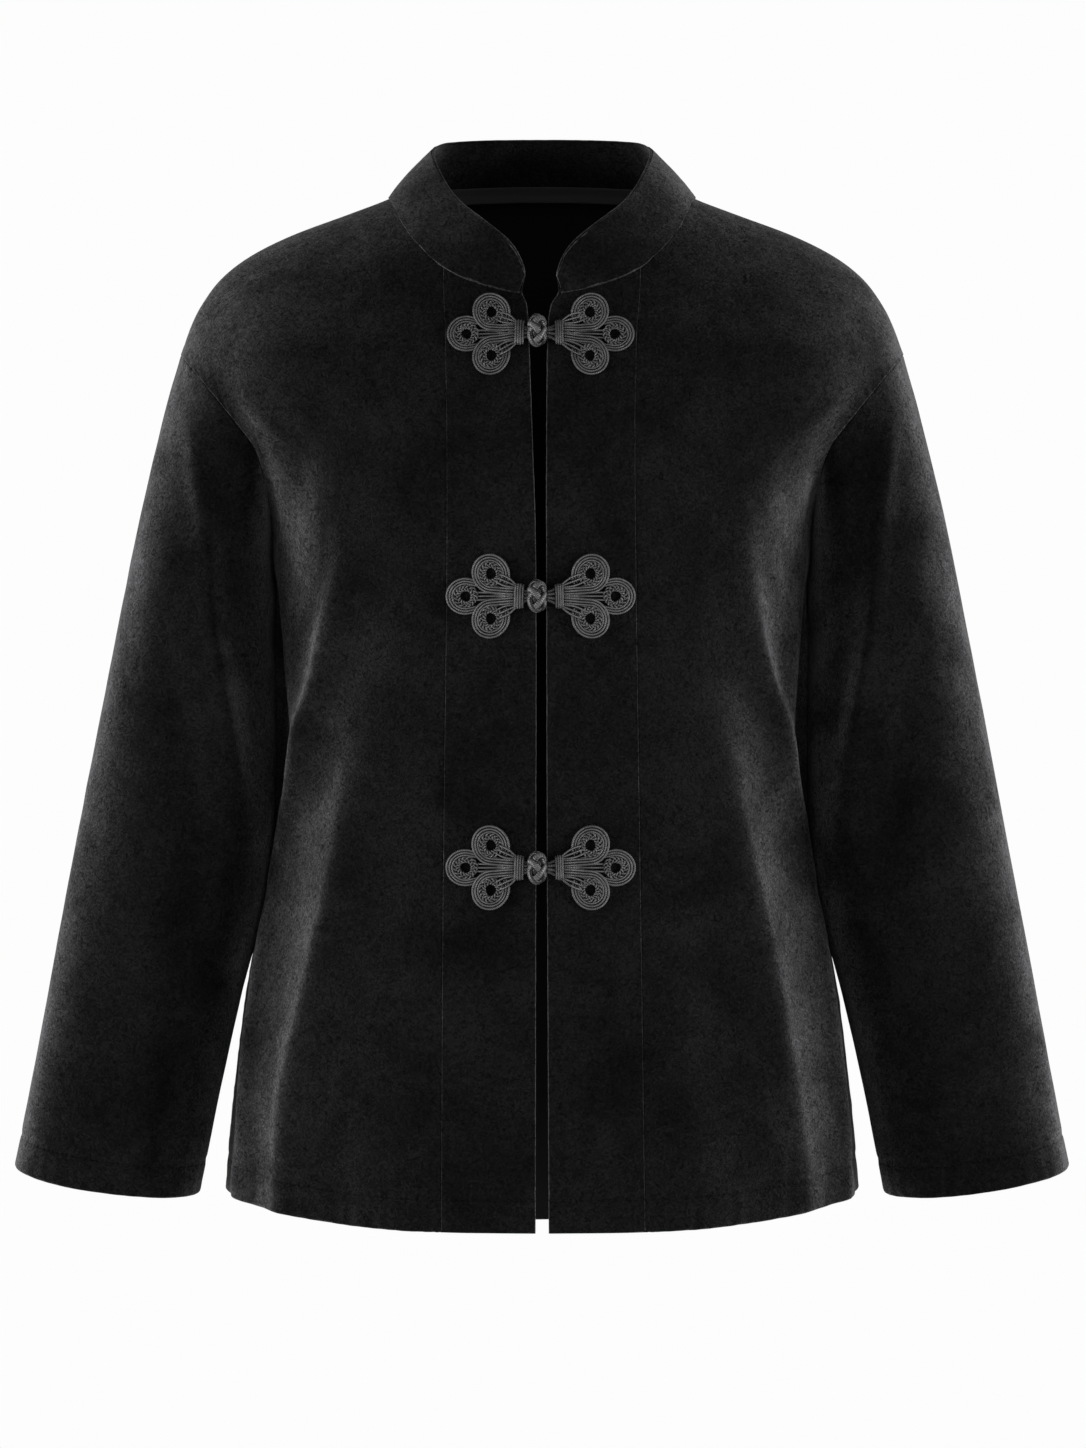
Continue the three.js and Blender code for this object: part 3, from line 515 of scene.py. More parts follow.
# side, rise, girth towards the middle, girth towards the side, path of height and distance
FRONT_FOLDS = (
    Fold(R, 4.5, 15, 12, ((-345, 146), (-285, 154), (-172, 166), (-100, 177))),
    Fold(R, 5.6, 17, 11, ((-600, 184), (-485, 172), (-404, 158), (-336, 145), (-294, 134), (-224, 119))),
    Fold(R, 2.3, 8, 4.5, ((-560, 181), (-485, 172), (-404, 158), (-336, 145), (-294, 134))),
    Fold(R, 4.2, 22, 14, ((-625, 160), (-544, 153), (-468, 136), (-399, 121), (-355, 112))),
    Fold(R, 1.8, 10, 6, ((-600, 158), (-544, 153), (-468, 136), (-399, 121))),
    Fold(R, 3.0, 24, 14, ((-205, 130), (-167, 132), (-105, 151), (-62, 170))),
    Fold(R, -4.5, 10, 10, ((-420, 165.5), (-333, 160), (-250, 161))),
    Fold(R, 1.4, 13, 9, ((-605, 84), (-560, 78), (-520, 70))),
    Fold(R, -1.6, 18, 16, ((-600, 122), (-500, 108), (-400, 92))),
    Fold(L, 4.0, 15, 12, ((-350, 146), (-285, 153), (-149, 168), (-90, 178))),
    Fold(L, 5.0, 18, 11, ((-610, 186), (-496, 174), (-407, 160), (-332, 145), (-276, 130), (-215, 120))),
    Fold(L, 2.2, 8, 4.5, ((-580, 183), (-496, 174), (-407, 160), (-332, 145), (-276, 130))),
    Fold(L, 3.6, 24, 16, ((-630, 164), (-548, 150), (-459, 135), (-372, 116), (-330, 106))),
    Fold(L, 1.7, 11, 6, ((-600, 158), (-548, 150), (-459, 135), (-372, 116))),
    Fold(L, 3.4, 22, 15, ((-215, 133), (-160, 136), (-110, 154), (-66, 172))),
    Fold(L, -4.5, 10, 10, ((-420, 165.5), (-333, 160), (-250, 161))),
    Fold(L, 1.2, 14, 10, ((-610, 92), (-570, 86), (-500, 78))),
    Fold(L, -1.5, 20, 16, ((-600, 118), (-480, 104), (-380, 88))),
)
BACK_FOLDS = (
    Fold(R, 5.0, 16, 14, ((-460, 168), (-360, 158), (-262, 156), (-216, 154))),
    Fold(R, 4.6, 34, 28, ((-640, 128), (-500, 120), (-360, 104), (-210, 98))),
    Fold(R, 0.8, 12, 9, ((-620, 127), (-500, 120), (-360, 104))),
    Fold(R, 3.8, 20, 24, ((-644, 54), (-470, 48), (-330, 46))),
    Fold(R, 3.2, 20, 16, ((-230, 140), (-150, 150), (-80, 166))),
    Fold(R, -1.8, 16, 16, ((-560, 88), (-430, 76), (-300, 72))),
    Fold(L, 5.0, 16, 14, ((-450, 167), (-370, 158), (-270, 156), (-220, 154))),
    Fold(L, 3.8, 36, 26, ((-636, 136), (-520, 124), (-380, 110), (-250, 100))),
    Fold(L, 0.7, 13, 9, ((-620, 134), (-520, 124), (-380, 110))),
    Fold(L, 4.4, 22, 22, ((-644, 66), (-520, 58), (-400, 50))),
    Fold(L, 3.6, 20, 16, ((-220, 138), (-140, 152), (-76, 168))),
    Fold(L, -1.7, 16, 18, ((-590, 96), (-480, 86), (-350, 80))),
)
# rise, width, spine of signed girth and height
FRONT_CREASES = (
    Crease(1.0, 5.0, ((-226, -150), (-206, -176), (-178, -214), (-150, -262))),
    Crease(0.8, 4.0, ((-214, -186), (-196, -232), (-182, -286))),
    Crease(-0.8, 6.0, ((-206, -214), (-186, -262), (-168, -330))),
    Crease(0.7, 5.0, ((-150, -92), (-132, -130), (-118, -178))),
    Crease(0.9, 5.0, ((222, -146), (200, -178), (172, -222), (148, -280))),
    Crease(0.8, 4.0, ((212, -190), (196, -240), (184, -300))),
    Crease(-0.8, 6.0, ((204, -210), (186, -268), (164, -340))),
    Crease(0.6, 5.0, ((146, -88), (130, -124), (112, -184))),
    Crease(0.7, 5.5, ((-110, -596), (-100, -560), (-92, -508))),
    Crease(0.6, 5.0, ((118, -604), (110, -566), (100, -520))),
)
BACK_CREASES = (
    Crease(1.0, 5.0, ((-214, -190), (-190, -222), (-150, -262), (-112, -322))),
    Crease(0.8, 4.5, ((-196, -230), (-170, -276), (-146, -340))),
    Crease(1.0, 5.0, ((210, -196), (182, -232), (144, -280), (116, -350))),
    Crease(0.7, 4.5, ((192, -236), (168, -290), (150, -348))),
    Crease(0.7, 6.0, ((-60, -28), (-30, -40), (10, -42), (52, -32))),
    Crease(0.8, 6.0, ((-20, -600), (-14, -548), (-16, -480))),
)


def pucker(distance: Array, run: Array, rise: float, seed: int, depth: float = 6.5) -> Array:
    """Small uneven puckers that stitching draws in beside a seam.

    Args:
        distance: Distance from the seam.
        run: Place along the seam.
        rise: Height of the puckers at the seam.
        seed: Number that settles their places.
        depth: Distance over which they die out.

    Returns:
        How far each point is lifted.
    """
    pick = np.random.default_rng(seed)
    total = np.zeros(np.broadcast(distance, run).shape)
    for length in (9.0, 14.0, 23.0, 41.0):
        total += np.sin(2 * math.pi * run / (length * pick.uniform(0.85, 1.2)) + pick.uniform(0, 6.28))
    return rise * 0.5 * total * np.exp(-distance / depth)


def hem_groove(foot: Array) -> Array:
    """How far the hem's stitching draws the cloth in, by the distance from the edge."""
    return GROOVE_DEPTH * np.exp(-(((foot - HEM_STITCH) / GROOVE_HALF) ** 2))


@dataclass(frozen=True)
class Sheen:
    """Soft light that a pile or satin throws back at a slant."""

    weight: float
    roughness: float
    tint: Colour


class Shader:
    """Lays nodes and joins them in one material."""

    def __init__(self, name: str) -> None:
        """Starts a material that holds a shader and its output.

        Args:
            name: Name of the material.
        """
        self.material = bpy.data.materials.new(name)
        self.material.use_nodes = True
        self.tree = self.material.node_tree
        self.tree.nodes.clear()
        self.surface = self.add("ShaderNodeBsdfPrincipled")
        output = self.add("ShaderNodeOutputMaterial")
        self.join(self.surface, "BSDF", output, "Surface")

    def add(self, kind: str, values: dict[str, object] | None = None, **settings: object) -> Node:
        """Adds a node.

        Args:
            kind: Blender's name of the node type.
            values: Values for its input sockets, by name or index.
            settings: Settings of the node itself.

        Returns:
            The new node.
        """
        node = self.tree.nodes.new(kind)
        for name, value in settings.items():
            setattr(node, name, value)
        for socket, value in (values or {}).items():
            node.inputs[socket].default_value = value
        return node

    def join(self, source: Node, output: str | int, target: Node, socket: str | int) -> None:
        """Links an output of one node to an input of another."""
        self.tree.links.new(source.outputs[output], target.inputs[socket])

    def noise(self, scale: float, detail: float, distortion: float = 0.0) -> Node:
        """Noise in the piece's own space, with a scale per metre.

        Args:
            scale: Number of lumps in a metre.
            detail: Number of finer layers.
            distortion: How far the lumps are bent.

        Returns:
            The noise.
        """
        place = self.add("ShaderNodeTexCoord")
        values = {"Scale": scale, "Detail": detail, "Roughness": 0.6, "Distortion": distortion}
        node = self.add("ShaderNodeTexNoise", values)
        self.join(place, "Object", node, "Vector")
        return node

    def math(self, operation: str, source: Node, output: str | int, value: float) -> Node:
        """Sum, product or other reckoning of one output with a number.

        Args:
            operation: Blender's name of the reckoning.
            source: Node that gives the first number.
            output: Its output.
            value: The second number.

        Returns:
            The node with the result.
        """
        node = self.add("ShaderNodeMath", {1: value}, operation=operation)
        self.join(source, output, node, 0)
        return node

    def both(self, operation: str, first: Node, second: Node) -> Node:
        """Reckoning of two nodes' first outputs.

        Args:
            operation: Blender's name of the reckoning.
            first: Node that gives the first number.
            second: Node that gives the second.

        Returns:
            The node with the result.
        """
        node = self.add("ShaderNodeMath", operation=operation)
        self.join(first, 0, node, 0)
        self.join(second, 0, node, 1)
        return node

    def mottle(self, scale: float, detail: float, distortion: float, low: float, high: float) -> Node:
        """Uneven shade from a noise, held between two levels.

        Args:
            scale: Number of lumps in a metre.
            detail: Number of finer layers.
            distortion: How far the lumps are bent.
            low: Lowest level.
            high: Highest level.

        Returns:
            The node with the shade.
        """
        values = {"From Min": 0.3, "From Max": 0.7, "To Min": low, "To Max": high}
        node = self.add("ShaderNodeMapRange", values, clamp=True)
        self.join(self.noise(scale, detail, distortion), "Fac", node, "Value")
        return node

    def mix(self, factor: Node, first: Colour, second: Colour) -> Node:
        """Colour between two, by a node's first output.

        Args:
            factor: Node that gives the share of the second colour.
            first: Colour at 0.
            second: Colour at 1.

        Returns:
            The node with the colour.
        """
        node = self.add("ShaderNodeMix", data_type="RGBA")
        node.inputs["A"].default_value = (*first, 1.0)
        node.inputs["B"].default_value = (*second, 1.0)
        self.join(factor, 0, node, "Factor")
        return node

    def flat_place(self) -> Node:
        """Place on the flat cut, in metres.

        Returns:
            The node with the places across and up as its first outputs.
        """
        cut = self.add("ShaderNodeUVMap", uv_map=CUT_MAP)
        parts = self.add("ShaderNodeSeparateXYZ")
        self.join(cut, "UV", parts, 0)
        return parts

    def ripple(self, source: Node, output: str | int, length: float) -> Node:
        """Sine of an output, with one turn to a length."""
        turn = self.math("MULTIPLY", source, output, 2 * math.pi / length)
        return self.math("SINE", turn, 0, 0.0)

    def as_share(self, wave: Node) -> Node:
        """Brings a wave from between -1 and 1 to between 0 and 1."""
        return self.math("MULTIPLY", self.math("ADD", wave, 0, 1.0), 0, 0.5)

    def set_look(self, colour: Node, roughness: float, specular: float = 0.5) -> None:
        """Joins a colour to the shader and sets its gloss.

        Args:
            colour: Node with the colour.
            roughness: Roughness of the surface.
            specular: Strength of its reflections.
        """
        self.join(colour, "Result", self.surface, "Base Color")
        self.surface.inputs["Roughness"].default_value = roughness
        self.surface.inputs["Specular IOR Level"].default_value = specular

    def set_sheen(self, sheen: Sheen) -> None:
        """Puts a sheen on the shader's own sockets.

        Args:
            sheen: The sheen.
        """
        self.surface.inputs["Sheen Weight"].default_value = sheen.weight
        self.surface.inputs["Sheen Roughness"].default_value = sheen.roughness
        self.surface.inputs["Sheen Tint"].default_value = (*sheen.tint, 1.0)

    def set_relief(self, height: Node, strength: float, depth: float) -> None:
        """Joins a small relief to the shader.

        Args:
            height: Node with the height.
            strength: Share of the relief that shows.
            depth: Depth of the relief in metres.
        """
        bump = self.add("ShaderNodeBump", {"Strength": strength, "Distance": depth})
        self.join(height, 0, bump, "Height")
        self.join(bump, "Normal", self.surface, "Normal")


@dataclass(frozen=True)
class Velvet:
    """Black cotton velvet: dark pile seen end on, and a painted sheen that makes it pale where the cloth is
    seen from the side.
    """

    name: str = "velvet_pile"
    deep: Colour = (0.0016, 0.0016, 0.0018)
    paler: Colour = (0.0135, 0.0135, 0.0141)
    worn_share: float = 0.5
    # painted sheen: the colour painted where the cloth is seen edge on, and the facing values and power over
    # which it grows
    painted_sheen: Colour = (0.130, 0.130, 0.134)
    painted_sheen_start: float = 0.055
    painted_sheen_end: float = 0.95
    painted_sheen_power: float = 1.8
    roughness: float = 0.9
    specular: float = 0.02
    sheen: Sheen = Sheen(0.03, 0.25, (0.9, 0.9, 0.94))
    # lumps in a metre, finer layers, bend, lowest and highest level
    patches: Row = (17.0, 3.0, 0.6, 0.5, 1.5)
    curls: Row = (300.0, 3.0, 1.8, 0.25, 1.8)
    lint: Row = (900.0, 1.0, 0.4, 0.6, 1.4)
    pile_strength: float = 0.35
    pile_depth: float = 0.0006
    stitch_place: float = HEM_STITCH * MM
    stitch_half: float = 0.0011
    stitch_length: float = 0.0032
    stitch_dent: float = 0.25
    stitch_strength: float = 0.9
    stitch_depth: float = 0.0009

    def stitch_line(self, shader: Shader) -> Node:
        """Groove of the hem's stitching, 1 on its line and 0 away from it.

        Args:
            shader: Material that takes the nodes.

        Returns:
            The node with the groove.
        """
        parts = shader.flat_place()
        away = shader.math("SUBTRACT", parts, 1, self.stitch_place)
        away = shader.math("ABSOLUTE", away, 0, 0.0)
        near = shader.math("DIVIDE", away, 0, self.stitch_half)
        line = shader.add("ShaderNodeMath", {0: 1.0}, operation="SUBTRACT", use_clamp=True)
        shader.join(near, 0, line, 1)
        thread = shader.ripple(parts, 0, self.stitch_length)
        thread = shader.math("MULTIPLY", thread, 0, self.stitch_dent)
        thread = shader.math("ADD", thread, 0, 1.0 - self.stitch_dent)
        return shader.both("MULTIPLY", line, thread)

    def painted_sheen_share(self, shader: Shader) -> Node:
        """Share of the painted sheen, which grows where the cloth turns away from the view.

        Args:
            shader: Material that takes the nodes.

        Returns:
            The node with the share.
        """
        slant = shader.add("ShaderNodeLayerWeight", {"Blend": 0.5})
        reach = {"From Min": self.painted_sheen_start, "From Max": self.painted_sheen_end}
        turned = shader.add("ShaderNodeMapRange", reach, clamp=True)
        shader.join(slant, "Facing", turned, "Value")
        return shader.math("POWER", turned, 0, self.painted_sheen_power)

    def material(self) -> bpy.types.Material:
        """The finished material.

        Returns:
            The material, with its stitched relief over the pile's.
        """
        shader = Shader(self.name)
        patches, curls, lint = (shader.mottle(*row) for row in (self.patches, self.curls, self.lint))
        mottle = shader.both("MULTIPLY", shader.both("MULTIPLY", patches, curls), lint)
        # painted sheen: pale colour laid over the dark pile where the cloth turns away from the view, broken
        # by the pile's mottle
        painted_sheen_mix = shader.both("MULTIPLY", self.painted_sheen_share(shader), mottle)
        base = shader.mix(shader.math("MULTIPLY", mottle, 0, self.worn_share), self.deep, self.paler)
        colour = shader.mix(painted_sheen_mix, self.deep, self.painted_sheen)
        shader.join(base, "Result", colour, "A")
        shader.set_look(colour, self.roughness, self.specular)
        shader.set_sheen(self.sheen)
        depths = {"Strength": self.pile_strength, "Distance": self.pile_depth}
        pile = shader.add("ShaderNodeBump", depths)
        shader.join(curls, 0, pile, "Height")
        depths = {"Strength": self.stitch_strength, "Distance": self.stitch_depth}
        stitched = shader.add("ShaderNodeBump", depths, invert=True)
        shader.join(self.stitch_line(shader), 0, stitched, "Height")
        shader.join(pile, "Normal", stitched, "Normal")
        shader.join(stitched, "Normal", shader.surface, "Normal")
        return shader.material


@dataclass(frozen=True)
class VelvetBacking:
    """Wrong side of the velvet: a close plain weave, black and dull."""

    name: str = "velvet_backing"
    dark: Colour = (0.0040, 0.0040, 0.0044)
    pale: Colour = (0.0075, 0.0075, 0.0080)
    thread: float = 0.0011
    roughness: float = 0.95
    specular: float = 0.15
    # strength, and depth in metres
    relief: Pair = (0.4, 0.0002)

    def material(self) -> bpy.types.Material:
        """The finished material.

        Returns:
            The material.
        """
        shader = Shader(self.name)
        parts = shader.flat_place()
        warp, weft = (shader.ripple(parts, way, self.thread) for way in (0, 1))
        weave = shader.both("MULTIPLY", warp, weft)
        colour = shader.mix(shader.as_share(weave), self.dark, self.pale)
        shader.set_look(colour, self.roughness, self.specular)
        shader.set_relief(weave, *self.relief)
        return shader.material


@dataclass(frozen=True)
class Tape:
    """Black cotton tape with a fine twill."""

    name: str = "twill_tape"
    dark: Colour = (0.012, 0.012, 0.013)
    pale: Colour = (0.030, 0.030, 0.032)
    thread: float = 0.0009
    roughness: float = 0.8
    sheen: Sheen = Sheen(0.1, 0.4, (1.0, 1.0, 1.0))
    relief: Pair = (0.5, 0.0002)

    def material(self) -> bpy.types.Material:
        """The finished material.

        Returns:
            The material.
        """
        shader = Shader(self.name)
        parts = shader.flat_place()
        slope = shader.add("ShaderNodeMath", operation="ADD")
        for way in (0, 1):
            shader.join(parts, way, slope, way)
        rib = shader.ripple(slope, 0, self.thread)
        colour = shader.mix(shader.as_share(rib), self.dark, self.pale)
        shader.set_look(colour, self.roughness)
        shader.set_sheen(self.sheen)
        shader.set_relief(rib, *self.relief)
        return shader.material


@dataclass(frozen=True)
class SatinCord:
    """Grey-black satin cord, with a fine spiral of threads over it, a painted highlight along its crown and
    painted shade on its sides.
    """

    name: str = "satin_cord"
    # dark shows in the painted shade on the sides and underside of the cord, pale in the painted highlight
    # on its crown
    dark: Colour = (0.004, 0.004, 0.0042)
    pale: Colour = (0.200, 0.200, 0.203)
    pitch: float = 0.0011
    threads: float = 2.0
    roughness: float = 0.34
    specular: float = 0.55
    sheen: Sheen = Sheen(0.12, 0.3, (1.0, 1.0, 1.0))
    relief: Pair = (0.35, 0.0002)
    # lumps in a metre, finer layers, bend, lowest and highest level
    streaks: Row = (260.0, 2.0, 0.0, 0.5, 1.0)
    # height on the round cord at which the painted highlight on its crown starts and is at its palest, and
    # the share of the pale colour left in the painted shade on its sides and underside
    painted_highlight_start: float = 0.55
    painted_highlight_end: float = 1.05
    shadow: float = 0.02

    def material(self) -> bpy.types.Material:
        """The finished material.

        Returns:
            The material, palest on the crown of the cord where a highlight is painted, and dark in the
            painted shade on its sides and underside.
        """
        shader = Shader(self.name)
        parts = shader.flat_place()
        along = shader.math("DIVIDE", parts, 0, self.pitch)
        spiral = shader.both("ADD", along, shader.math("MULTIPLY", parts, 1, self.threads))
        thread = shader.ripple(spiral, 0, 1.0)
        streaks = shader.mottle(*self.streaks)
        # painted highlight on the crown of the cord, falling to painted shade on its sides and underside
        reach = {"From Min": self.painted_highlight_start, "From Max": self.painted_highlight_end, "To Min": self.shadow}
        crown = shader.add("ShaderNodeMapRange", reach, clamp=True)
        shader.join(shader.ripple(parts, 1, 1.0), 0, crown, "Value")
        soft = shader.math("ADD", shader.math("MULTIPLY", shader.as_share(thread), 0, 0.5), 0, 0.5)
        # share of the pale colour: the thread spiral and random streaks, times the painted highlight and
        # shade
        paler = shader.both("MULTIPLY", shader.both("MULTIPLY", soft, streaks), crown)
        shader.set_look(shader.mix(paler, self.dark, self.pale), self.roughness, self.specular)
        shader.set_sheen(self.sheen)
        shader.set_relief(thread, *self.relief)
        return shader.material


class Finishes:
    """The materials, made once and shared by the pieces."""

    def __init__(self) -> None:
        """Makes each material."""
        self.velvet = Velvet().material()
        self.backing = VelvetBacking().material()
        self.tape = Tape().material()
        self.cord = SatinCord().material()
        self.cloth = (self.velvet, self.backing)

    def dress_frame(self) -> None:
        """Gives the frame's own nodes a finish like that of the piece that stands for them."""
        for name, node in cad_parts.items():
            if name.startswith("frog"):
                material = self.cord
            elif name == "back_neck_tape":
                material = self.tape
            else:
                material = self.backing
            for place in node.material_slots:
                place.material = material


@dataclass(frozen=True)
class Cut:
    """Flat size of a cloth piece before it was sewn, in metres, and its area where it isn't a rectangle."""

    width: float
    length: float
    area: float | None = None


def lay_grid(points: Array, flat: Array) -> bmesh.types.BMesh:
    """Makes a grid and moves its points into place.

    Args:
        points: Grid of points, columns counterclockwise over rows as seen from outside.
        flat: Place of each point on its flat cut.

    Returns:
        The mesh, smooth and with its cut map.
    """
    rows, columns = points.shape[:2]
    grid = bmesh.new()
    bmesh.ops.create_grid(grid, x_segments=columns - 1, y_segments=rows - 1, size=1.0)
    spots = np.array([v.co[:2] for v in grid.verts])
    low, high = spots.min(axis=0), spots.max(axis=0)
    share = (spots - low) / (high - low)
    j = np.rint(share[:, 0] * (columns - 1)).astype(int)
    i = np.rint(share[:, 1] * (rows - 1)).astype(int)
    for vertex, place, index in zip(grid.verts, (points[i, j] * MM).tolist(), (i * columns + j).tolist()):
        vertex.co = place
        vertex.index = index
    grid.verts.sort()
    cut = (flat.reshape(-1, 2) * MM).tolist()
    layer = grid.loops.layers.uv.new(CUT_MAP)
    for face in grid.faces:
        face.smooth = True
        for loop in face.loops:
            loop[layer].uv = cut[loop.vert.index]
    return grid


def cloth_object(
    name: str,
    points: Array,
    cut: Array,
    thick: float,
    materials: Sequence[bpy.types.Material],
) -> Piece:
    """Makes a sewn piece from the grid of points of its outer face.

    Args:
        name: Name of the piece.
        points: Grid of points.
        cut: Place of each point on the flat cut.
        thick: Thickness of the cloth.
        materials: Outer and inner material.

    Returns:
        The object, with its thickness as a modifier.
    """
    mesh = bpy.data.meshes.new(name)
    grid = lay_grid(points, cut)
    grid.to_mesh(mesh)
    grid.free()
    for material in materials:
        mesh.materials.append(material)
    piece = bpy.data.objects.new(name, mesh)
    bpy.context.scene.collection.objects.link(piece)
    shell = piece.modifiers.new("thickness", "SOLIDIFY")
    shell.thickness = thick * MM
    shell.offset = -1.0
    shell.material_offset = len(materials) - 1
    return piece


def thin_out(piece: Piece, share: Array) -> None:
    """Thins a cloth where the share falls below 1, in the order of its grid.

    Args:
        piece: The cloth piece.
        share: Share of the thickness that is kept at each point of its grid.
    """
    group = piece.vertex_groups.new(name="thickness")
    group.add(range(len(piece.data.vertices)), 1.0, "REPLACE")
    for index in np.nonzero(share.ravel() < 0.999)[0].tolist():
        group.add([index], float(share.flat[index]), "REPLACE")
    piece.modifiers["thickness"].vertex_group = group.name


def put_in_place(piece: Piece, nodes: Sequence[str]) -> None:
    """Ties a piece to the frame's body and hides the nodes that it stands for.

    Args:
        piece: The piece.
        nodes: Nodes that it replaces.
    """
    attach(piece, BODY)
    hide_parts(*nodes)
    LOG.info("%s: %d faces, stands for %s", piece.name, len(piece.data.polygons), ", ".join(nodes))


def sew_velvet(
    node: str,
    points: Array,
    thick: float,
    materials: Sequence[bpy.types.Material],
    kept: Array | None = None,
) -> Piece:
    """Makes a velvet piece and puts it in place of its node.

    Args:
        node: Node that it replaces.
        points: Grid of points of its outer face.
        thick: Thickness of the cloth.
        materials: Outer and inner material.
        kept: Share of the thickness that is kept at each point, if it isn't all.

    Returns:
        The piece.
    """
    piece = cloth_object(f"{node}_cloth", points, flat_places(points), thick, materials)
    if kept is not None:
        thin_out(piece, kept)
    put_in_place(piece, [node])
    return piece


def flat_places(points: Array) -> Array:
    """Places on the flat cut, across and up, from lengths over the cloth."""
    left, _, foot, _ = edge_distances(points)
    return np.stack([left - left[:, -1:] / 2, foot], axis=-1)


def shoulder_calm(points: Array) -> Array:
    """Share that falls to nothing at the shoulder point, where three pieces meet in a corner.

    Args:
        points: Grid of points.

    Returns:
        The share at each point.
    """
    across = np.abs(points[..., 0]) - FORM.shoulder_x
    return ramp(np.hypot(across, points[..., 2] - FORM.shoulder_z), 1, 9)


@dataclass
class BodyPanel:
    """What the fronts and the back share: four border lines, filled and laid on the form."""

    cut: Cut
    thick: float = 1.7
    rows: int = 236
    underarm_share: float = 0.74
    underarm_row: float = 0.645
    gap: float = -0.15
    seam_roll: float = 1.0
    hem_roll: float = 1.3
    broad_rise: float = 0.75
    broad_length: float = 150.0
    small_rise: float = 0.22
    small_length: float = 46.0
    flutter_rise: float = 1.1
    flutter_low: float = -640.0
    flutter_high: float = -470.0
    underarm_reach: float = 30.0
    even_rounds: int = 140
    seam_pucker: float = 0.28
    hem_pucker: float = 0.35
    # distances from a seam over which the cloth comes free to be evened, and folds come in
    free_side: Pair = (3.0, 22.0)
    free_head: Pair = (4.0, 20.0)
    band_calm: float = 18.0

    def heights(self) -> Array:
        """Shares of the way up the panel, closer near the shoulder.

        Returns:
            The shares, ascending.
        """
        t = stations(self.rows)
        low = self.underarm_share * t / self.underarm_row
        past = np.clip((t - self.underarm_row) / (1 - self.underarm_row), 0.0, 1.0)
        high = self.underarm_share + (1 - self.underarm_share) * np.sin(0.5 * math.pi * past)
        return np.where(t < self.underarm_row, low, high)

    def outer_line(self, v: Array) -> Array:
        """Side seam up to the underarm and armhole above it, as places seen from the front.

        Args:
            v: Shares of the way up.

        Returns:
            The places, distance from the middle and height.
        """
        low = v / self.underarm_share
        high = (v - self.underarm_share) / (1 - self.underarm_share)
        below = FORM.hem_side + (FORM.underarm_z - FORM.hem_side) * low
        above = FORM.underarm_z + (FORM.shoulder_z - FORM.underarm_z) * high
        z = np.where(v <= self.underarm_share, below, above)
        side = Profile(FORM.sections).at(z)
        x = np.where(v <= self.underarm_share, side, FORM.arm_x(z) - self.gap)
        return np.column_stack([x, z])

    def shares(self, edge: float, neck_steps: int, shoulder_steps: int, rolled: bool) -> Array:
        """Shares of the way from the inner edge to the shoulder point, close at the neck point.

        Args:
            edge: Distance of the inner edge from the middle.
            neck_steps: Number of steps along the neck.
            shoulder_steps: Number of steps along the shoulder.
            rolled: Whether the inner edge is rolled, with finer steps.

        Returns:
            The shares, ascending.
        """
        neck = (FORM.neck_x - edge) * stations(neck_steps, first=rolled, last=False)
        shoulder = stations(shoulder_steps, first=False)[1:]
        shoulder = FORM.neck_x - edge + (FORM.shoulder_x - FORM.neck_x) * np.sin(0.5 * math.pi * shoulder)
        return np.concatenate([neck, shoulder]) / (FORM.shoulder_x - edge)

    def fill(self, share: Array, edge_x: Profile, edge_top: Pair, neck: Rows, hem_middle: float) -> Array:
        """Fills the panel's four border lines.

        Args:
            share: Shares of the way across.
            edge_x: Distance of the inner edge from the middle, by height.
            edge_top: Place where the inner edge meets the neck.
            neck: Rows of the neck seam.
            hem_middle: Height of the hem at the middle of the jacket.

        Returns:
            Grid of places seen from the front, rows from the hem up.
        """
        v = self.heights()
        line = FORM.shoulder_line()
        top_x = edge_top[0] + (FORM.shoulder_x - self.gap - edge_top[0]) * share
        over = np.interp(top_x, line[:, 0], line[:, 1])
        top_z = np.where(top_x < FORM.neck_x, Profile(neck).at(top_x), over)
        outer = self.outer_line(v)
        start_x = float(edge_x.at(hem_middle))
        foot_x = start_x + (outer[0, 0] - start_x) * share
        foot_z = FORM.hem_height(foot_x, hem_middle)
        inner_z = foot_z[0] + (edge_top[1] - foot_z[0]) * v
        inner = np.column_stack([edge_x.at(inner_z), inner_z])
        foot = np.column_stack([foot_x, foot_z])
        top = np.column_stack([top_x, top_z])
        top[0], top[-1] = inner[-1], outer[-1]
        s, up = share[None, :, None], v[:, None, None]
        corners = (1 - s) * ((1 - up) * foot[0] + up * top[0]) + s * ((1 - up) * foot[-1] + up * top[-1])
        ruled = (1 - up) * foot[None] + up * top[None] + (1 - s) * inner[:, None] + s * outer[:, None]
        return ruled - corners

    def creases(self, places: Array, face: Face) -> Array:
        """Height of the short creases, the drape and the hem's flutter.

        Args:
            places: Grid of signed places, distance from the middle and height.
            face: Front or back.

        Returns:
            How far each point is lifted.
        """
        x, z = places[..., 0], places[..., 1]
        girth = np.sign(x) * FORM.angle(np.abs(x), z) * FORM.girth_radius
        creases, seed = (FRONT_CREASES, 11) if face is Face.FRONT else (BACK_CREASES, 23)
        lift = sum(crease.lift(girth, z) for crease in creases)
        lift = lift + self.broad_rise * waves(girth, 0.45 * z, seed, self.broad_length)
        lift = lift + self.small_rise * waves(girth, z, seed + 1, self.small_length)
        low = 1 - ramp(z, self.flutter_low, self.flutter_high)
        flutter = np.sin(girth / 23.0 + 0.8 * np.sin(girth / 61.0) + seed)
        return lift + self.flutter_rise * low * flutter

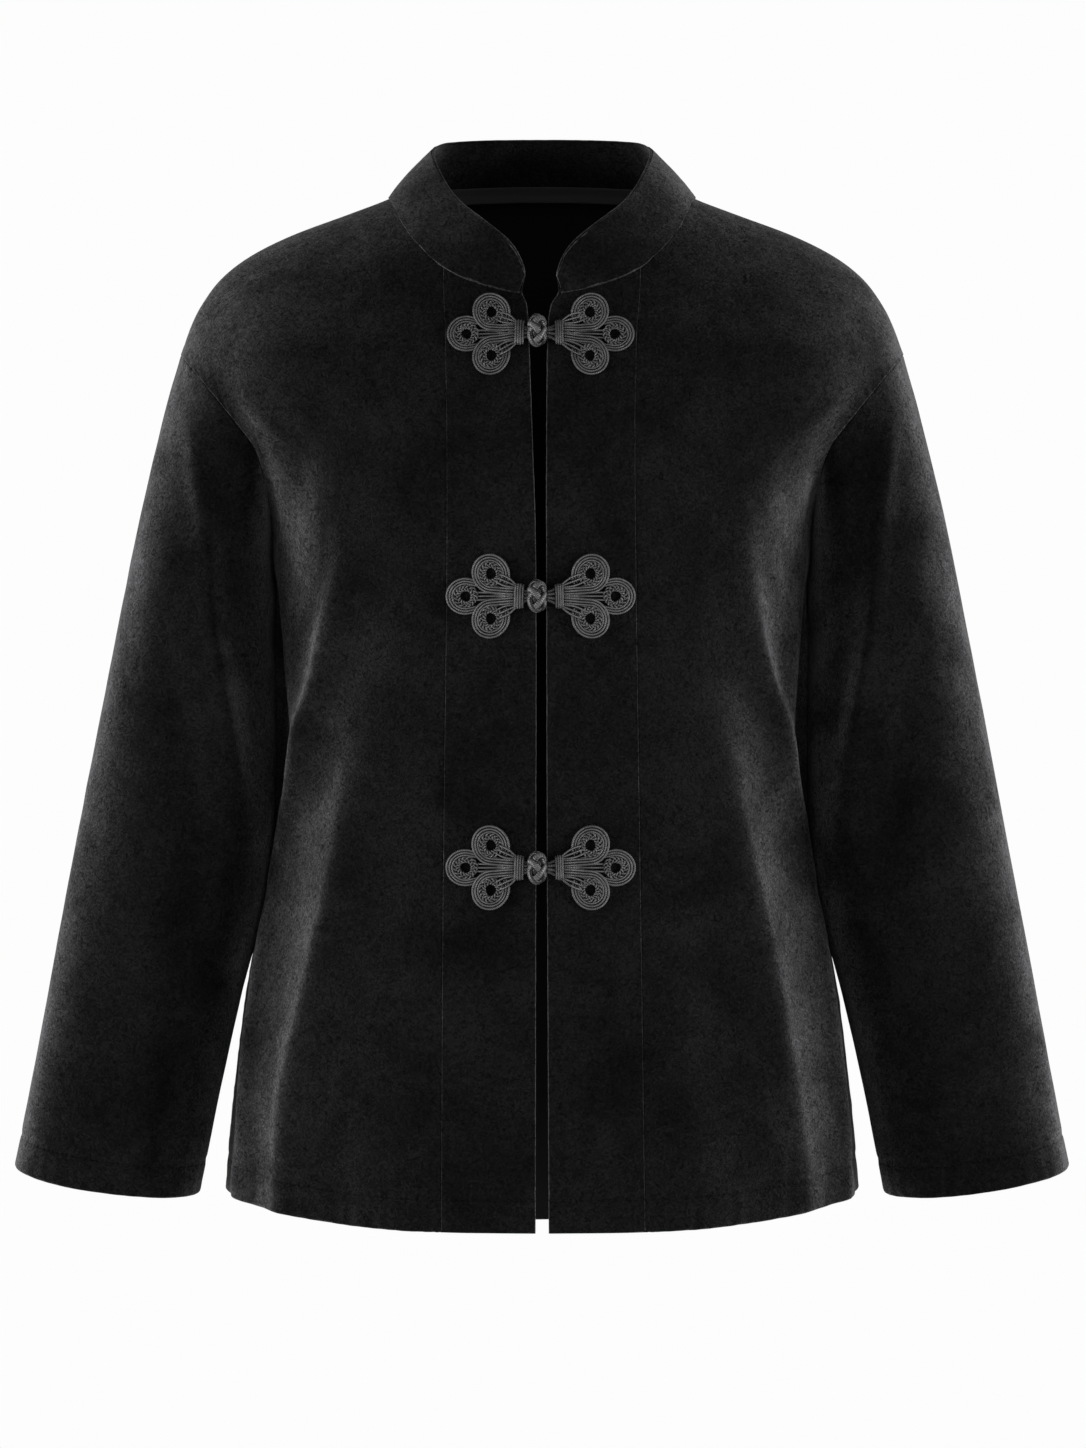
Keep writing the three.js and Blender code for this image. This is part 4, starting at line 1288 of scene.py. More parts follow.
    def drape(self, places: Array, face: Face) -> Array:
        """Lays places on the form and lifts them by folds, creases and puckers.

        Args:
            places: Grid of signed places, in the order that makes its outside point outwards.
            face: Front or back.

        Returns:
            Grid of points.
        """
        x, z = places[..., 0], places[..., 1]
        points = FORM.point(x, z, face)
        left, right, foot, head = edge_distances(points)
        near = np.minimum(left, right)
        level = np.exp(-(((z - FORM.underarm_z) / self.underarm_reach) ** 2))
        clear = ramp(near, *self.free_side) * ramp(head, *self.free_head)
        points = relax(points, 0.9 * level * clear, self.even_rounds)
        folds = FRONT_FOLDS if face is Face.FRONT else BACK_FOLDS
        lift = sum(fold.lift(x, z) for fold in folds)
        lift = lift + self.creases(places, face)
        lift = lift * FORM.seam_clearance(x, z)
        if face is Face.FRONT:
            lift = lift * ramp(left if x[0, 0] > 0 else right, 0, self.band_calm)
        lift = lift + pucker(near, z + 3 * x, self.seam_pucker, 5) * ramp(near, 0, 1.2)
        lift = lift + pucker(foot, x * 1.3, self.hem_pucker, 9, 16) * ramp(foot, 0, 2)
        lift = lift - hem_groove(foot)
        return points + outward(points) * lift[..., None]

    def sew(self, node: str, places: Array, face: Face, finishes: Finishes) -> Piece:
        """Makes the panel from its places and puts it in place.

        Args:
            node: Node that it replaces.
            places: Grid of signed places.
            face: Front or back.
            finishes: The materials.

        Returns:
            The piece.
        """
        points = self.drape(places, face)
        calm = shoulder_calm(points)
        points = roll_edges(points, (self.seam_roll, self.seam_roll, self.hem_roll, self.seam_roll), calm)
        return sew_velvet(node, points, self.thick, finishes.cloth, kept=calm)


@dataclass
class FrontPanel(BodyPanel):
    """One front, from its band seam to the side seam, armhole and shoulder."""

    cut: Cut = Cut(0.24, 0.66, 0.119)
    side: Side = Side.RIGHT
    seam: Rows = ()
    hem_height: float = -630.0
    edge_top: float = -48.0
    neck_steps: int = 26
    shoulder_steps: int = 82

    def build(self, finishes: Finishes) -> Piece:
        """Makes the panel and puts it in place.

        Args:
            finishes: The materials.

        Returns:
            The piece.
        """
        edge_x = Profile(self.seam)
        top_x = float(edge_x.at(self.edge_top))
        share = self.shares(top_x, self.neck_steps, self.shoulder_steps, rolled=True)
        places = self.fill(share, edge_x, (top_x, self.edge_top), FORM.front_neck, self.hem_height)
        places[..., 0] *= self.side.value
        if self.side is Side.RIGHT:
            places = places[:, ::-1]
        return self.sew(f"front_{self.side.label}", places, Face.FRONT, finishes)


@dataclass
class BackPanel(BodyPanel):
    """The back, in one piece."""

    cut: Cut = Cut(0.50, 0.66, 0.296)
    rows: int = 190
    hem_height: float = -644.0
    neck_steps: int = 40
    shoulder_steps: int = 62

    def build(self, finishes: Finishes) -> Piece:
        """Makes the back and puts it in place.

        Args:
            finishes: The materials.

        Returns:
            The piece.
        """
        middle = Profile(((-700.0, 0.0), (40.0, 0.0)))
        share = self.shares(0.0, self.neck_steps, self.shoulder_steps, rolled=False)
        half = self.fill(share, middle, (0.0, FORM.back_neck[0][1]), FORM.back_neck, self.hem_height)
        other = half[:, :0:-1] * np.array([-1.0, 1.0])
        places = np.concatenate([other, half], axis=1)[:, ::-1]
        return self.sew("back", places, Face.BACK, finishes)


@dataclass
class FrontBand:
    """Straight band down one front edge, doubled along the edge."""

    side: Side
    edge: Rows  # height, distance of the front edge from the middle
    seam: Rows  # height, distance of the band seam from the middle
    cut: Cut = Cut(0.058, 0.58, 0.0322)
    thick: float = 1.8
    rows: int = 230
    columns: int = 20
    hem_height: float = -630.0
    gap: float = -0.2
    edge_roll: float = 1.4
    seam_roll: float = 0.8
    neck_end: float = 60.0
    seam_pucker: float = 0.25
    edge_pucker: float = 0.16
    swell: float = 0.2
    swell_length: float = 70.0

    def places(self) -> Array:
        """Lays the band out, seen from the front.

        Returns:
            Grid of signed places, columns from the edge to the seam.
        """
        v = stations(self.rows)[:, None]
        s = stations(self.columns)[None, :]
        neck_start = FORM.front_neck[0][0]
        top = Profile(FORM.front_neck).at(neck_start + (self.neck_end - neck_start) * s)
        guess = self.hem_height + (top - self.hem_height) * v
        edge = Profile(self.edge).at(guess)
        x = edge + (Profile(self.seam).at(guess) - self.gap - edge) * s
        low = FORM.hem_height(x, self.hem_height)
        z = low + (top - low) * v
        return np.stack([self.side.value * x, z], axis=-1)

    def build(self, finishes: Finishes) -> Piece:
        """Makes the band and puts it in place.

        Args:
            finishes: The materials.

        Returns:
            The piece.
        """
        places = self.places()
        rolls = (self.edge_roll, self.seam_roll, self.edge_roll, self.seam_roll)
        if self.side is Side.RIGHT:
            places = places[:, ::-1]
            rolls = (self.seam_roll, self.edge_roll, self.edge_roll, self.seam_roll)
        x, z = places[..., 0], places[..., 1]
        points = FORM.point(x, z, Face.FRONT)
        left, right, foot, _ = edge_distances(points)
        seam_side, edge_side = (left, right) if self.side is Side.RIGHT else (right, left)
        near = np.minimum(left, right)
        lift = pucker(seam_side, z, self.seam_pucker, 15) + pucker(edge_side, z, self.edge_pucker, 16, 9)
        lift = lift * ramp(near, 0, 1.5)
        lift = lift + self.swell * waves(x, z, 17, self.swell_length) * ramp(near, 2, 14)
        lift = lift - hem_groove(foot)
        points = roll_edges(points + outward(points) * lift[..., None], rolls)
        return sew_velvet(f"band_{self.side.label}", points, self.thick, finishes.cloth)


@dataclass(frozen=True)
class SleeveFold:
    """A fold along the sleeve: across is 0 on its outer line and 1 on its inner one."""

    face: Face
    rise: float
    wide: float
    path: Rows  # run, across

    def lift(self, run: Array, across: Array, face: Array) -> Array:
        """How far the fold lifts the cloth at a place.

        Args:
            run: Share of the way down the sleeve.
            across: Share of the way from the outer line to the inner one.
            face: Sign of each place's face.

        Returns:
            The lift at each place.
        """
        low, high = self.path[0][0], self.path[-1][0]
        gap = (across - Profile(self.path).at(run)) / self.wide
        ends = ramp(run, low - 0.04, low + 0.08) * (1 - ramp(run, high - 0.08, high + 0.06))
        return np.where(face == self.face.value, self.rise * ends * np.exp(-gap * gap), 0.0)


@dataclass
class Sleeve:
    """Long flared sleeve, sewn to the armhole, with its seam along the inner line."""

    side: Side
    # run, outer line x and z, inner line x and z, half depth, middle front to back
    lines: Rows = (
        (0.00, 224.0, -97, 167.0, -207, 64, 12),
        (0.07, 233.9, -132, 165.0, -236, 64, 7),
        (0.19, 247.8, -193, 164.8, -285, 62, -2),
        (0.32, 260.4, -256, 164.4, -337, 60, -7),
        (0.46, 274.0, -328, 165.4, -393, 57, -10),
        (0.58, 286.0, -391, 172.4, -443, 54, -12),
        (0.70, 297.8, -453, 185.0, -491, 51, -14),
        (0.85, 312.0, -531, 198.8, -553, 47, -17),
        (1.00, 324.5, -598, 210.5, -614, 43, -20),
    )
    folds: tuple[SleeveFold, ...] = (
        SleeveFold(
            Face.FRONT, 4.5, 0.11, ((0.05, 0.2), (0.15, 0.44), (0.25, 0.6), (0.38, 0.76), (0.52, 0.86))
        ),
        SleeveFold(Face.FRONT, 3.4, 0.16, ((0.42, 0.36), (0.62, 0.46), (0.82, 0.62), (0.97, 0.7))),
        SleeveFold(Face.FRONT, -3.0, 0.10, ((0.3, 0.34), (0.5, 0.6), (0.68, 0.76))),
        SleeveFold(Face.BACK, 4.2, 0.13, ((0.06, 0.3), (0.24, 0.52), (0.46, 0.66))),
        SleeveFold(Face.BACK, 3.6, 0.15, ((0.36, 0.28), (0.6, 0.4), (0.92, 0.56))),
        SleeveFold(Face.FRONT, 1.2, 0.05, ((0.06, 0.2), (0.15, 0.43), (0.25, 0.59), (0.38, 0.75))),
        SleeveFold(Face.BACK, 1.2, 0.06, ((0.08, 0.31), (0.24, 0.51), (0.44, 0.65))),
    )
    cut: Cut = Cut(0.36, 0.53, 0.158)
    thick: float = 1.7
    rows: int = 196
    columns: int = 136
    power: float = 2.15
    head_blend: float = 0.24
    cuff_scoop: float = 6.0
    length: float = 520.0
    girth: float = 330.0
    gap: float = -0.15
    seam_roll: float = 1.2
    cuff_roll: float = 1.4
    broad_rise: float = 0.9
    broad_length: float = 130.0
    small_rise: float = 0.25
    small_length: float = 44.0
    # short folds inside the bend, and the share of the way down where they lie
    inner_rise: float = 1.0
    inner_run: float = 0.12
    inner_reach: float = 0.16
    inner_side: Pair = (0.55, 0.95)
    inner_pitch: float = 8.5
    head_pucker: float = 0.5
    cuff_pucker: float = 0.3

    def base(self, run: Array, angle: Array) -> Array:
        """Smooth sleeve, before its folds.

        Args:
            run: Share of the way down, a column.
            angle: Angle round it, 0 on the outer line and positive over the front, a row.

        Returns:
            Grid of points for the wearer's left.
        """
        columns = (Profile(self.lines, column).at(run) for column in range(1, 7))
        outer_x, outer_z, inner_x, inner_z, depth, middle = columns
        turned = np.abs(angle)
        face = np.where(angle >= 0, -1.0, 1.0)
        across = (1 - np.cos(turned)) / 2
        arm_z = FORM.shoulder_z + across * (FORM.underarm_z - FORM.shoulder_z)
        arm_x = FORM.arm_x(arm_z)
        in_front = FORM.point(arm_x, arm_z, Face.FRONT)[..., 1]
        behind = FORM.point(arm_x, arm_z, Face.BACK)[..., 1]
        head_y = np.where(angle >= 0, in_front, behind)
        blend = ramp(run, 0, self.head_blend)
        straight_x = FORM.shoulder_x + across * (self.lines[0][3] - FORM.shoulder_x)
        x = outer_x + across * (inner_x - outer_x) + (1 - blend) * (arm_x - straight_x)
        z = outer_z + across * (inner_z - outer_z)
        bulge = (1 - np.abs(np.cos(turned)) ** self.power) ** (1 / self.power)
        y = blend * (middle + face * depth * bulge) + (1 - blend) * head_y
        scoop = self.cuff_scoop * np.sin(turned) * ramp(run, 0.6, 1)
        z = z - np.where(angle >= 0, scoop, 0.0)
        x = x + self.gap * (1 - ramp(run, 0, 0.05))
        return np.stack(np.broadcast_arrays(x, y, z), axis=-1)

    def lift(self, run: Array, angle: Array) -> Array:
        """Height of the folds, the drape and the puckers.

        Args:
            run: Share of the way down, a column.
            angle: Angle round it, a row.

        Returns:
            How far each point is lifted.
        """
        seed = 31 if self.side is Side.RIGHT else 37
        across = (1 - np.cos(np.abs(angle))) / 2
        face = np.where(angle >= 0, -1, 1)
        lift = sum(fold.lift(run, across, face) for fold in self.folds)
        around, down = angle * self.girth / (2 * math.pi), run * self.length
        lift = lift + self.broad_rise * waves(around, 0.5 * down, seed, self.broad_length)
        lift = lift + self.small_rise * waves(around, down, seed + 1, self.small_length)
        reach = (run - self.inner_run) / self.inner_reach
        inner = ramp(across, *self.inner_side) * np.exp(-(reach**2))
        phase = down / self.inner_pitch + 1.4 * np.sin(around / 19.0)
        lift = lift + self.inner_rise * inner * np.sin(phase)
        return lift * np.minimum(1.0, 2.5 * np.abs(np.sin(angle)) + 0.15) * ramp(run, 0.0, 0.05)

    def build(self, finishes: Finishes) -> Piece:
        """Makes the sleeve and puts it in place.

        Args:
            finishes: The materials.

        Returns:
            The piece.
        """
        run = stations(self.rows)[:, None]
        angle = (math.pi - 2 * math.pi * stations(self.columns))[None, :]
        points = self.base(run, angle)
        if self.side is Side.LEFT:
            points = points[::-1]
        else:
            points = points[::-1, ::-1] * np.array([-1.0, 1.0, 1.0])
            angle = angle[:, ::-1]
        run = run[::-1]
        _, _, foot, head = edge_distances(points)
        lift = self.lift(run, angle)
        lift = lift + pucker(head, angle * 50, self.head_pucker, 41, 9) * ramp(head, 0, 1.5)
        lift = lift + pucker(foot, angle * 50, self.cuff_pucker, 43, 14) * ramp(foot, 0, 2)
        lift = lift - hem_groove(foot)
        points = points + outward(points) * lift[..., None]
        points = roll_edges(points, (self.seam_roll, self.seam_roll, self.cuff_roll, self.seam_roll))
        return sew_velvet(f"sleeve_{self.side.label}", points, self.thick, finishes.cloth)


@dataclass
class StandCollar:
    """Stand collar that leans in to the neck, rounded off at its two front ends."""

    # foot x, rim x, rim y, rim z, from the front end to the middle of the back
    half: Rows = (
        (12.0, 10.6, -89.5, -56.5),
        (16.0, 10.9, -88.5, -49.5),
        (26.0, 14.6, -86.0, -40.6),
        (35.5, 19.8, -83.0, -33.5),
        (45.6, 27.0, -79.0, -26.8),
        (60.0, 37.6, -71.0, -18.0),
        (72.0, 48.4, -60.0, -8.8),
        (81.5, 56.8, -44.0, 2.6),
        (90.0, 63.2, -22.0, 16.5),
        (94.0, 66.0, 4.0, 29.0),
        (80.0, 60.4, 26.0, 35.5),
        (64.0, 50.0, 36.0, 37.8),
        (48.0, 38.0, 41.5, 39.0),
        (32.0, 25.6, 44.8, 39.6),
        (16.0, 12.8, 46.4, 39.9),
        (0.0, 0.0, 47.0, 40.0),
    )
    neck_row: int = 9
    left_closer: float = 2.3
    closer_start: float = 60.0
    closer_reach: float = 48.0
    full_height: float = 36.0
    swell: float = 0.35
    swell_length: float = 60.0
    foot_pucker: float = 0.3
    rim_pucker: float = 0.15
    crown: float = 2.2
    thick: float = 2.3
    rows: int = 22
    columns: int = 196
    gap: float = -1.5
    seam_roll: float = 0.5
    rim_roll: float = 1.5
    centre_y: float = -12.0
    cut: Cut = Cut(0.44, 0.055, 0.0186)
    # place of the foot on the cut map, clear of the line of the hem's stitching
    map_foot: float = 60.0

    def column(self, index: int) -> Profile:
        """One column of the table, by row number."""
        return Profile([(k, row[index]) for k, row in enumerate(self.half)])

    def lines(self, place: Array, side: Side) -> tuple[Array, Array]:
        """Foot and rim of half the collar.

        Args:
            place: Places along the half, as row numbers of its table.
            side: The wearer's side.

        Returns:
            Points of the foot and of the rim.
        """
        past = place - self.neck_row
        before, after = self.half[self.neck_row - 1][0], self.half[self.neck_row + 1][0]
        drop = np.where(past < 0, FORM.neck_x - before, FORM.neck_x - after)
        foot_x = np.where(np.abs(past) < 1, FORM.neck_x - drop * past**2, self.column(0).at(place))
        foot_z = np.where(past < 0, Profile(FORM.front_neck).at(foot_x), Profile(FORM.back_neck).at(foot_x))
        shift = np.zeros_like(place)
        if side is Side.LEFT:
            near_front = np.clip((self.closer_start - foot_x) / self.closer_reach, 0, 1)
            shift = np.where(past < 0, -self.left_closer * near_front, 0.0)
        x = side.value * (foot_x + shift)
        front = FORM.point(x, foot_z, Face.FRONT)
        back = FORM.point(x, foot_z, Face.BACK)
        foot = np.where((past < 0)[:, None], front, back)
        rim_x = side.value * (self.column(1).at(place) + shift / 2)
        rim = np.column_stack([rim_x, self.column(2).at(place), self.column(3).at(place)])
        return foot, rim

    def build(self, finishes: Finishes) -> Piece:
        """Makes the collar and puts it in place.

        Args:
            finishes: The materials.

        Returns:
            The piece.
        """
        last = len(self.half) - 1
        place = stations(self.columns) * 2 * last
        right = self.lines(place[place <= last], Side.RIGHT)
        left = self.lines(2 * last - place[place > last], Side.LEFT)
        foot, rim = (np.concatenate(pair) for pair in zip(right, left))
        v = stations(self.rows)[:, None, None]
        points = foot[None] * (1 - v) + rim[None] * v
        out = points - np.array([0.0, self.centre_y, 0.0])
        out[..., 2] = 0.0
        out /= np.linalg.norm(out, axis=-1, keepdims=True)
        tall = np.minimum(np.linalg.norm(rim - foot, axis=-1) / self.full_height, 1.0)[None, :, None]
        points = points + out * self.crown * tall * np.sin(math.pi * v)
        points[..., 2] += self.gap * (1 - v[..., 0])
        first, final, low, high = edge_distances(points)
        swell = self.swell * waves(first, 0.6 * low, 51, self.swell_length)
        lift = swell * ramp(np.minimum(low, high), 1, 9)
        lift = lift + pucker(low, first, self.foot_pucker, 53, 5) * ramp(low, 0, 1.5)
        lift = lift + pucker(high, first, self.rim_pucker, 54, 5) * ramp(high, 0, 1.5)
        lift = lift * ramp(np.minimum(first, final), 2, 14)
        points = points + outward(points) * lift[..., None]
        points = roll_edges(points, (self.rim_roll, self.rim_roll, self.seam_roll, self.rim_roll))
        cut = flat_places(points)
        cut[..., 1] += self.map_foot
        piece = cloth_object("collar_cloth", points, cut, self.thick, (finishes.velvet,))
        put_in_place(piece, ["collar"])
        return piece


@dataclass
class NeckTape:
    """Tape that covers the back neck seam inside, half on the collar and half on the back."""

    half: float = 74.0
    above: float = 4.2
    below: float = 5.4
    under: float = 3.3
    lean: float = 0.9
    sway: float = 0.12
    thick: float = 0.8
    columns: int = 96
    rows: int = 10
    cut: Cut = Cut(0.16, 0.0102)

    def build(self, finishes: Finishes) -> Piece:
        """Makes the tape and puts it in place.

        Args:
            finishes: The materials.

        Returns:
            The piece.
        """
        x = np.linspace(self.half, -self.half, self.columns + 1)[None, :]
        share = np.linspace(0, 1, self.rows + 1)[:, None]
        up = -self.below + (self.above + self.below) * share
        seam_z = Profile(FORM.back_neck).at(np.abs(x))
        x = np.broadcast_to(x, (self.rows + 1, self.columns + 1))
        seam = FORM.point(x, np.broadcast_to(seam_z, x.shape), Face.BACK)
        back = FORM.point(x, seam_z + np.minimum(up, -0.4), Face.BACK)
        inner = seam[..., 1] - self.under - self.lean * np.maximum(up, 0.0)
        y = np.minimum(back[..., 1] - self.under, inner)
        sway = self.sway * np.sin(x / 7.0 + np.sin(x / 17.0))
        points = np.stack([x, y + sway, seam_z + up], axis=-1)
        piece = cloth_object("neck_tape", points, flat_places(points), self.thick, (finishes.tape,))
        put_in_place(piece, ["back_neck_tape"])
        return piece


class CordMesh:
    """Round cords swept along paths, gathered in one mesh."""

    sides: int = 10

    def __init__(self, name: str) -> None:
        """Starts an empty mesh with that name.

        Args:
            name: Name of the mesh and its object.
        """
        self.mesh = bpy.data.meshes.new(name)
        self.whole = bmesh.new()

    def add(self, part: bmesh.types.BMesh) -> None:
        """Joins a part on and frees it.

        Args:
            part: The part, in metres.
        """
        spare = bpy.data.meshes.new("part")
        part.to_mesh(spare)
        part.free()
        self.whole.from_mesh(spare)
        bpy.data.meshes.remove(spare)

    def sweep(self, path: Array, up: Array, wide: float, tall: float, closed: bool = False) -> None:
        """Sweeps a round cord along a path.

        Args:
            path: Points in millimetres.
            up: Direction out of what the cord lies on, at each point.
            wide: Half width of the cord.
            tall: Half height of the cord.
            closed: Whether its end meets its start.
        """
        if closed:
            ahead = np.roll(path, -1, axis=0) - np.roll(path, 1, axis=0)
            path, up, ahead = (np.concatenate([line, line[:1]]) for line in (path, up, ahead))
        else:
            ahead = np.gradient(path, axis=0)
            path, up, ahead = (np.concatenate([line[:1], line, line[-1:]]) for line in (path, up, ahead))
        size = np.ones(len(path))
        if not closed:
            size[0] = size[-1] = 0.0
        ahead = ahead / np.linalg.norm(ahead, axis=1, keepdims=True)
        across = np.cross(up, ahead)
        across /= np.linalg.norm(across, axis=1, keepdims=True)
        over = np.cross(ahead, across)
        lengths = np.concatenate([[0.0], np.cumsum(np.linalg.norm(np.diff(path, axis=0), axis=1))])
        turn = np.linspace(0, 2 * math.pi, self.sides + 1)
        beside = np.cos(turn)[None, :, None] * wide * across[:, None]
        above = np.sin(turn)[None, :, None] * tall * over[:, None]
        points = path[:, None] + size[:, None, None] * (beside + above)
        round_share = turn[None, :] / (2 * math.pi)
        flat = np.stack(np.broadcast_arrays(lengths[:, None], 1000 * round_share), axis=-1)
        tube = lay_grid(points, flat)
        bmesh.ops.remove_doubles(tube, verts=tube.verts, dist=1e-6)
        self.add(tube)

    def ball(self, centre: Array, halves: Array) -> None:
        """Adds a rounded core, with half sizes along the three axes.

        Args:
            centre: Its middle.
            halves: Its half sizes.
        """
        core = bmesh.new()
        place = Matrix.Translation(Vector(centre * MM)) @ Matrix.Diagonal((*(halves * MM), 1.0))
        bmesh.ops.create_icosphere(core, subdivisions=3, radius=1.0, matrix=place, calc_uvs=False)
        self.add(core)

    def finish(self, material: bpy.types.Material) -> Piece:
        """Turns the cords into an object of that material.

        Args:
            material: Their material.

        Returns:
            The object.
        """
        self.whole.to_mesh(self.mesh)
        self.whole.free()
        self.mesh.materials.append(material)
        piece = bpy.data.objects.new(self.mesh.name, self.mesh)
        bpy.context.scene.collection.objects.link(piece)
        return piece


@dataclass(frozen=True)
class Petal:
    """One loop of a frog.

    Its centre lies out from the front edge and up from the frog's middle. It has half sizes, a
    turn, and a depth by which its outer end lies lower. A curled petal ends under its own start.
    The other one runs back to the binding.
    """

    out: float
    up: float
    long: float
    wide: float
    turn: float
    low: float
    curled: bool


@dataclass(frozen=True)
class Strand:
    """One pass of cord round a petal.

    It has its share of the petal's size, the height over the middle at which it leaves the
    binding, on the side petal and on a curled one, half its thickness, and its rise over the cloth.
    """

    share: float
    spread: float
    curl_up: float
    radius: float
    rise: float


@dataclass
class FrogHalf:
    """Half of a frog: three petals of nested cord, bound to a stem beside the front edge.

    Stem and wrap are the places where the binding starts and ends, shift moves the petals, and
    tip is where the stem's strands end at the knot.
    """

    number: int
    height: float
    side: Side
    stem: float
    wrap: float
    shift: float
    tip: float
    side_petal: Petal = Petal(45.4, 0.0, 11.9, 11.2, 0.0, 0.9, False)
    round_petal: Petal = Petal(30.4, 13.4, 12.3, 11.3, 1.05, 0.0, True)
    strands: tuple[Strand, ...] = (
        Strand(1.0, 2.6, 1.0, 0.74, 2.2),
        Strand(0.852, 1.9, 2.6, 0.72, 2.1),
        Strand(0.71, 1.2, 4.2, 0.68, 2.0),
    )
    lead_ups: Row = (5.2, 6.2, 7.0)
    braid_share: float = 0.475
    braid_sway: float = 0.15
    braid_turns: int = 5
    braid_radius: float = 0.62
    braid_steps: int = 98
    braid_rise: float = 1.7
    lead_radius: float = 0.66
    lead_rise: float = 2.6
    lead_end: float = 4.2
    lead_spread: float = 2.3
    lead_bow: float = 1.1
    flat_lead_ups: Row = (1.4, 0.0, -1.4)
    rim_steps: int = 44
    head_steps: int = 10
    # places out between which a low petal's strands come down, and a curled one's dip and rise
    tilt_out: Pair = (36.0, 44.0)
    curl_dip: float = 1.2
    curl_rise: float = 0.5
    stem_radius: float = 1.1
    # height at the binding, height at the knot, rise over the cloth
    stem_strands: Rows = ((-4.6, -2.4, 3.4), (-1.6, -0.9, 4.6), (1.6, 0.9, 4.6), (4.6, 2.4, 3.4))
    hub_depth: float = 1.8
    gather_rise: float = 1.7
    gather_reach: float = 9.0
    turns: int = 4
    coil_half: float = 6.9
    coil_lift: float = 4.0
    coil_thick: float = 2.3
    coil_share: float = 0.43
    coil_steps: int = 30

    @property
    def hub_out(self) -> float:
        """Place inside the binding from which the strands start."""
        return self.wrap - self.hub_depth - self.shift

    def place(self, out: Array, up: Array, lift: Array) -> Array:
        """Points on the jacket's front for places of the frog."""
        return FORM.over_front(self.side.value * out, self.height + up, lift)

    def normals(self, out: Array, up: Array) -> Array:
        """Directions out of the cloth under places of the frog."""
        level = np.zeros_like(out)
        return self.place(out, up, level + 1.0) - self.place(out, up, level)

    def lay(
        self,
        cords: CordMesh,
        path: Array,
        lift: Array,
        radius: float,
        flip: int,
        closed: bool = False,
    ) -> None:
        """Lays a cord on the front.

        Args:
            cords: Mesh that takes it.
            path: Places out and up.
            lift: Height of the cord's middle over the cloth.
            radius: Half thickness of the cord.
            flip: 1, or -1 for upside down.
            closed: Whether it closes on itself.
        """
        out, up = path[:, 0] + self.shift, flip * path[:, 1]
        lift = lift + self.gather_rise * (1 - ramp(out, self.wrap, self.wrap + self.gather_reach))
        points = self.place(out, up, np.maximum(lift, radius + 0.05))
        cords.sweep(points, self.normals(out, up), radius, radius, closed)

    @staticmethod
    def oval(petal: Petal, shrink: float) -> tuple[Array, Array, Array]:
        """Centre, axes and half sizes of a petal's oval.

        Args:
            petal: The petal.
            shrink: How much smaller than the petal it is.

        Returns:
            The three of them.
        """
        cos, sin = math.cos(petal.turn), math.sin(petal.turn)
        axes = np.array([[cos, sin], [-sin, cos]])
        return np.array([petal.out, petal.up]), axes, np.array([petal.long, petal.wide]) - shrink

    def rim(self, cords: CordMesh, petal: Petal, strand: Strand, flip: int) -> None:
        """Adds one of the plain strands round a petal.

        Args:
            cords: Mesh that takes them.
            petal: The petal.
            strand: The strand.
            flip: 1, or -1 for upside down.
        """
        centre, axes, sizes = self.oval(petal, self.strands[0].radius)
        hub = np.array([self.hub_out, 0.0])
        if petal.curled:
            ends = [hub + np.array([0.0, strand.curl_up])]
        else:
            ends = [hub + np.array([0.0, sign * strand.spread]) for sign in (-1, 1)]
        angles = []
        for end, sign in zip(ends, (1, -1)):
            local = axes @ (end - centre) / sizes
            lean = math.acos(min(strand.share / float(np.hypot(*local)), 1.0))
            angles.append(math.atan2(local[1], local[0]) + sign * lean)
        toward = axes @ (hub - centre) / sizes
        start = angles[0]
        finish = math.atan2(toward[1], toward[0]) - 0.1 if petal.curled else angles[1]
        while finish < start + math.pi / 2:
            finish += 2 * math.pi
        angle = np.linspace(start, finish, self.rim_steps)
        arc = centre + (strand.share * np.column_stack([np.cos(angle), np.sin(angle)]) * sizes) @ axes
        share = np.linspace(0, 1, self.head_steps)[:, None]
        path = [ends[0] + (arc[0] - ends[0]) * share[:-1], arc]
        straight = np.full(self.head_steps - 1, start)
        turned = [straight, angle]
        if not petal.curled:
            path.append(arc[-1] + (ends[1] - arc[-1]) * share[1:])
            turned.append(straight)
        path, turned = np.concatenate(path), np.concatenate(turned)
        lift = strand.rise - petal.low * (1 - ramp(path[:, 0], *self.tilt_out))
        if petal.curled:
            lift = lift - self.curl_dip * ramp(turned, finish - 1.0, finish - 0.2)
            lift = lift + self.curl_rise * (1 - ramp(turned, start, start + 0.5))
        self.lay(cords, path, lift, strand.radius, flip)

    def braid(self, cords: CordMesh, petal: Petal, flip: int) -> None:
        """Adds the ring of three braided strands inside a petal.

        Args:
            cords: Mesh that takes them.
            petal: The petal.
            flip: 1, or -1 for upside down.
        """
        centre, axes, sizes = self.oval(petal, self.strands[0].radius)
        angle = np.linspace(0, 2 * math.pi, self.braid_steps, endpoint=False)
        slip = 0.35 * np.sin(2 * angle + petal.out + flip + self.number)
        for k in range(3):
            phase = self.braid_turns * angle + 2 * math.pi * k / 3 + slip
            share = self.braid_share + self.braid_sway * np.sin(phase) + 0.02 * np.sin(3 * angle + k)
            path = centre + (share[:, None] * np.column_stack([np.cos(angle), np.sin(angle)]) * sizes) @ axes
            lift = self.braid_rise - 0.4 * petal.low + 0.6 * np.sin(2 * phase)
            self.lay(cords, path, lift, self.braid_radius, flip, closed=True)

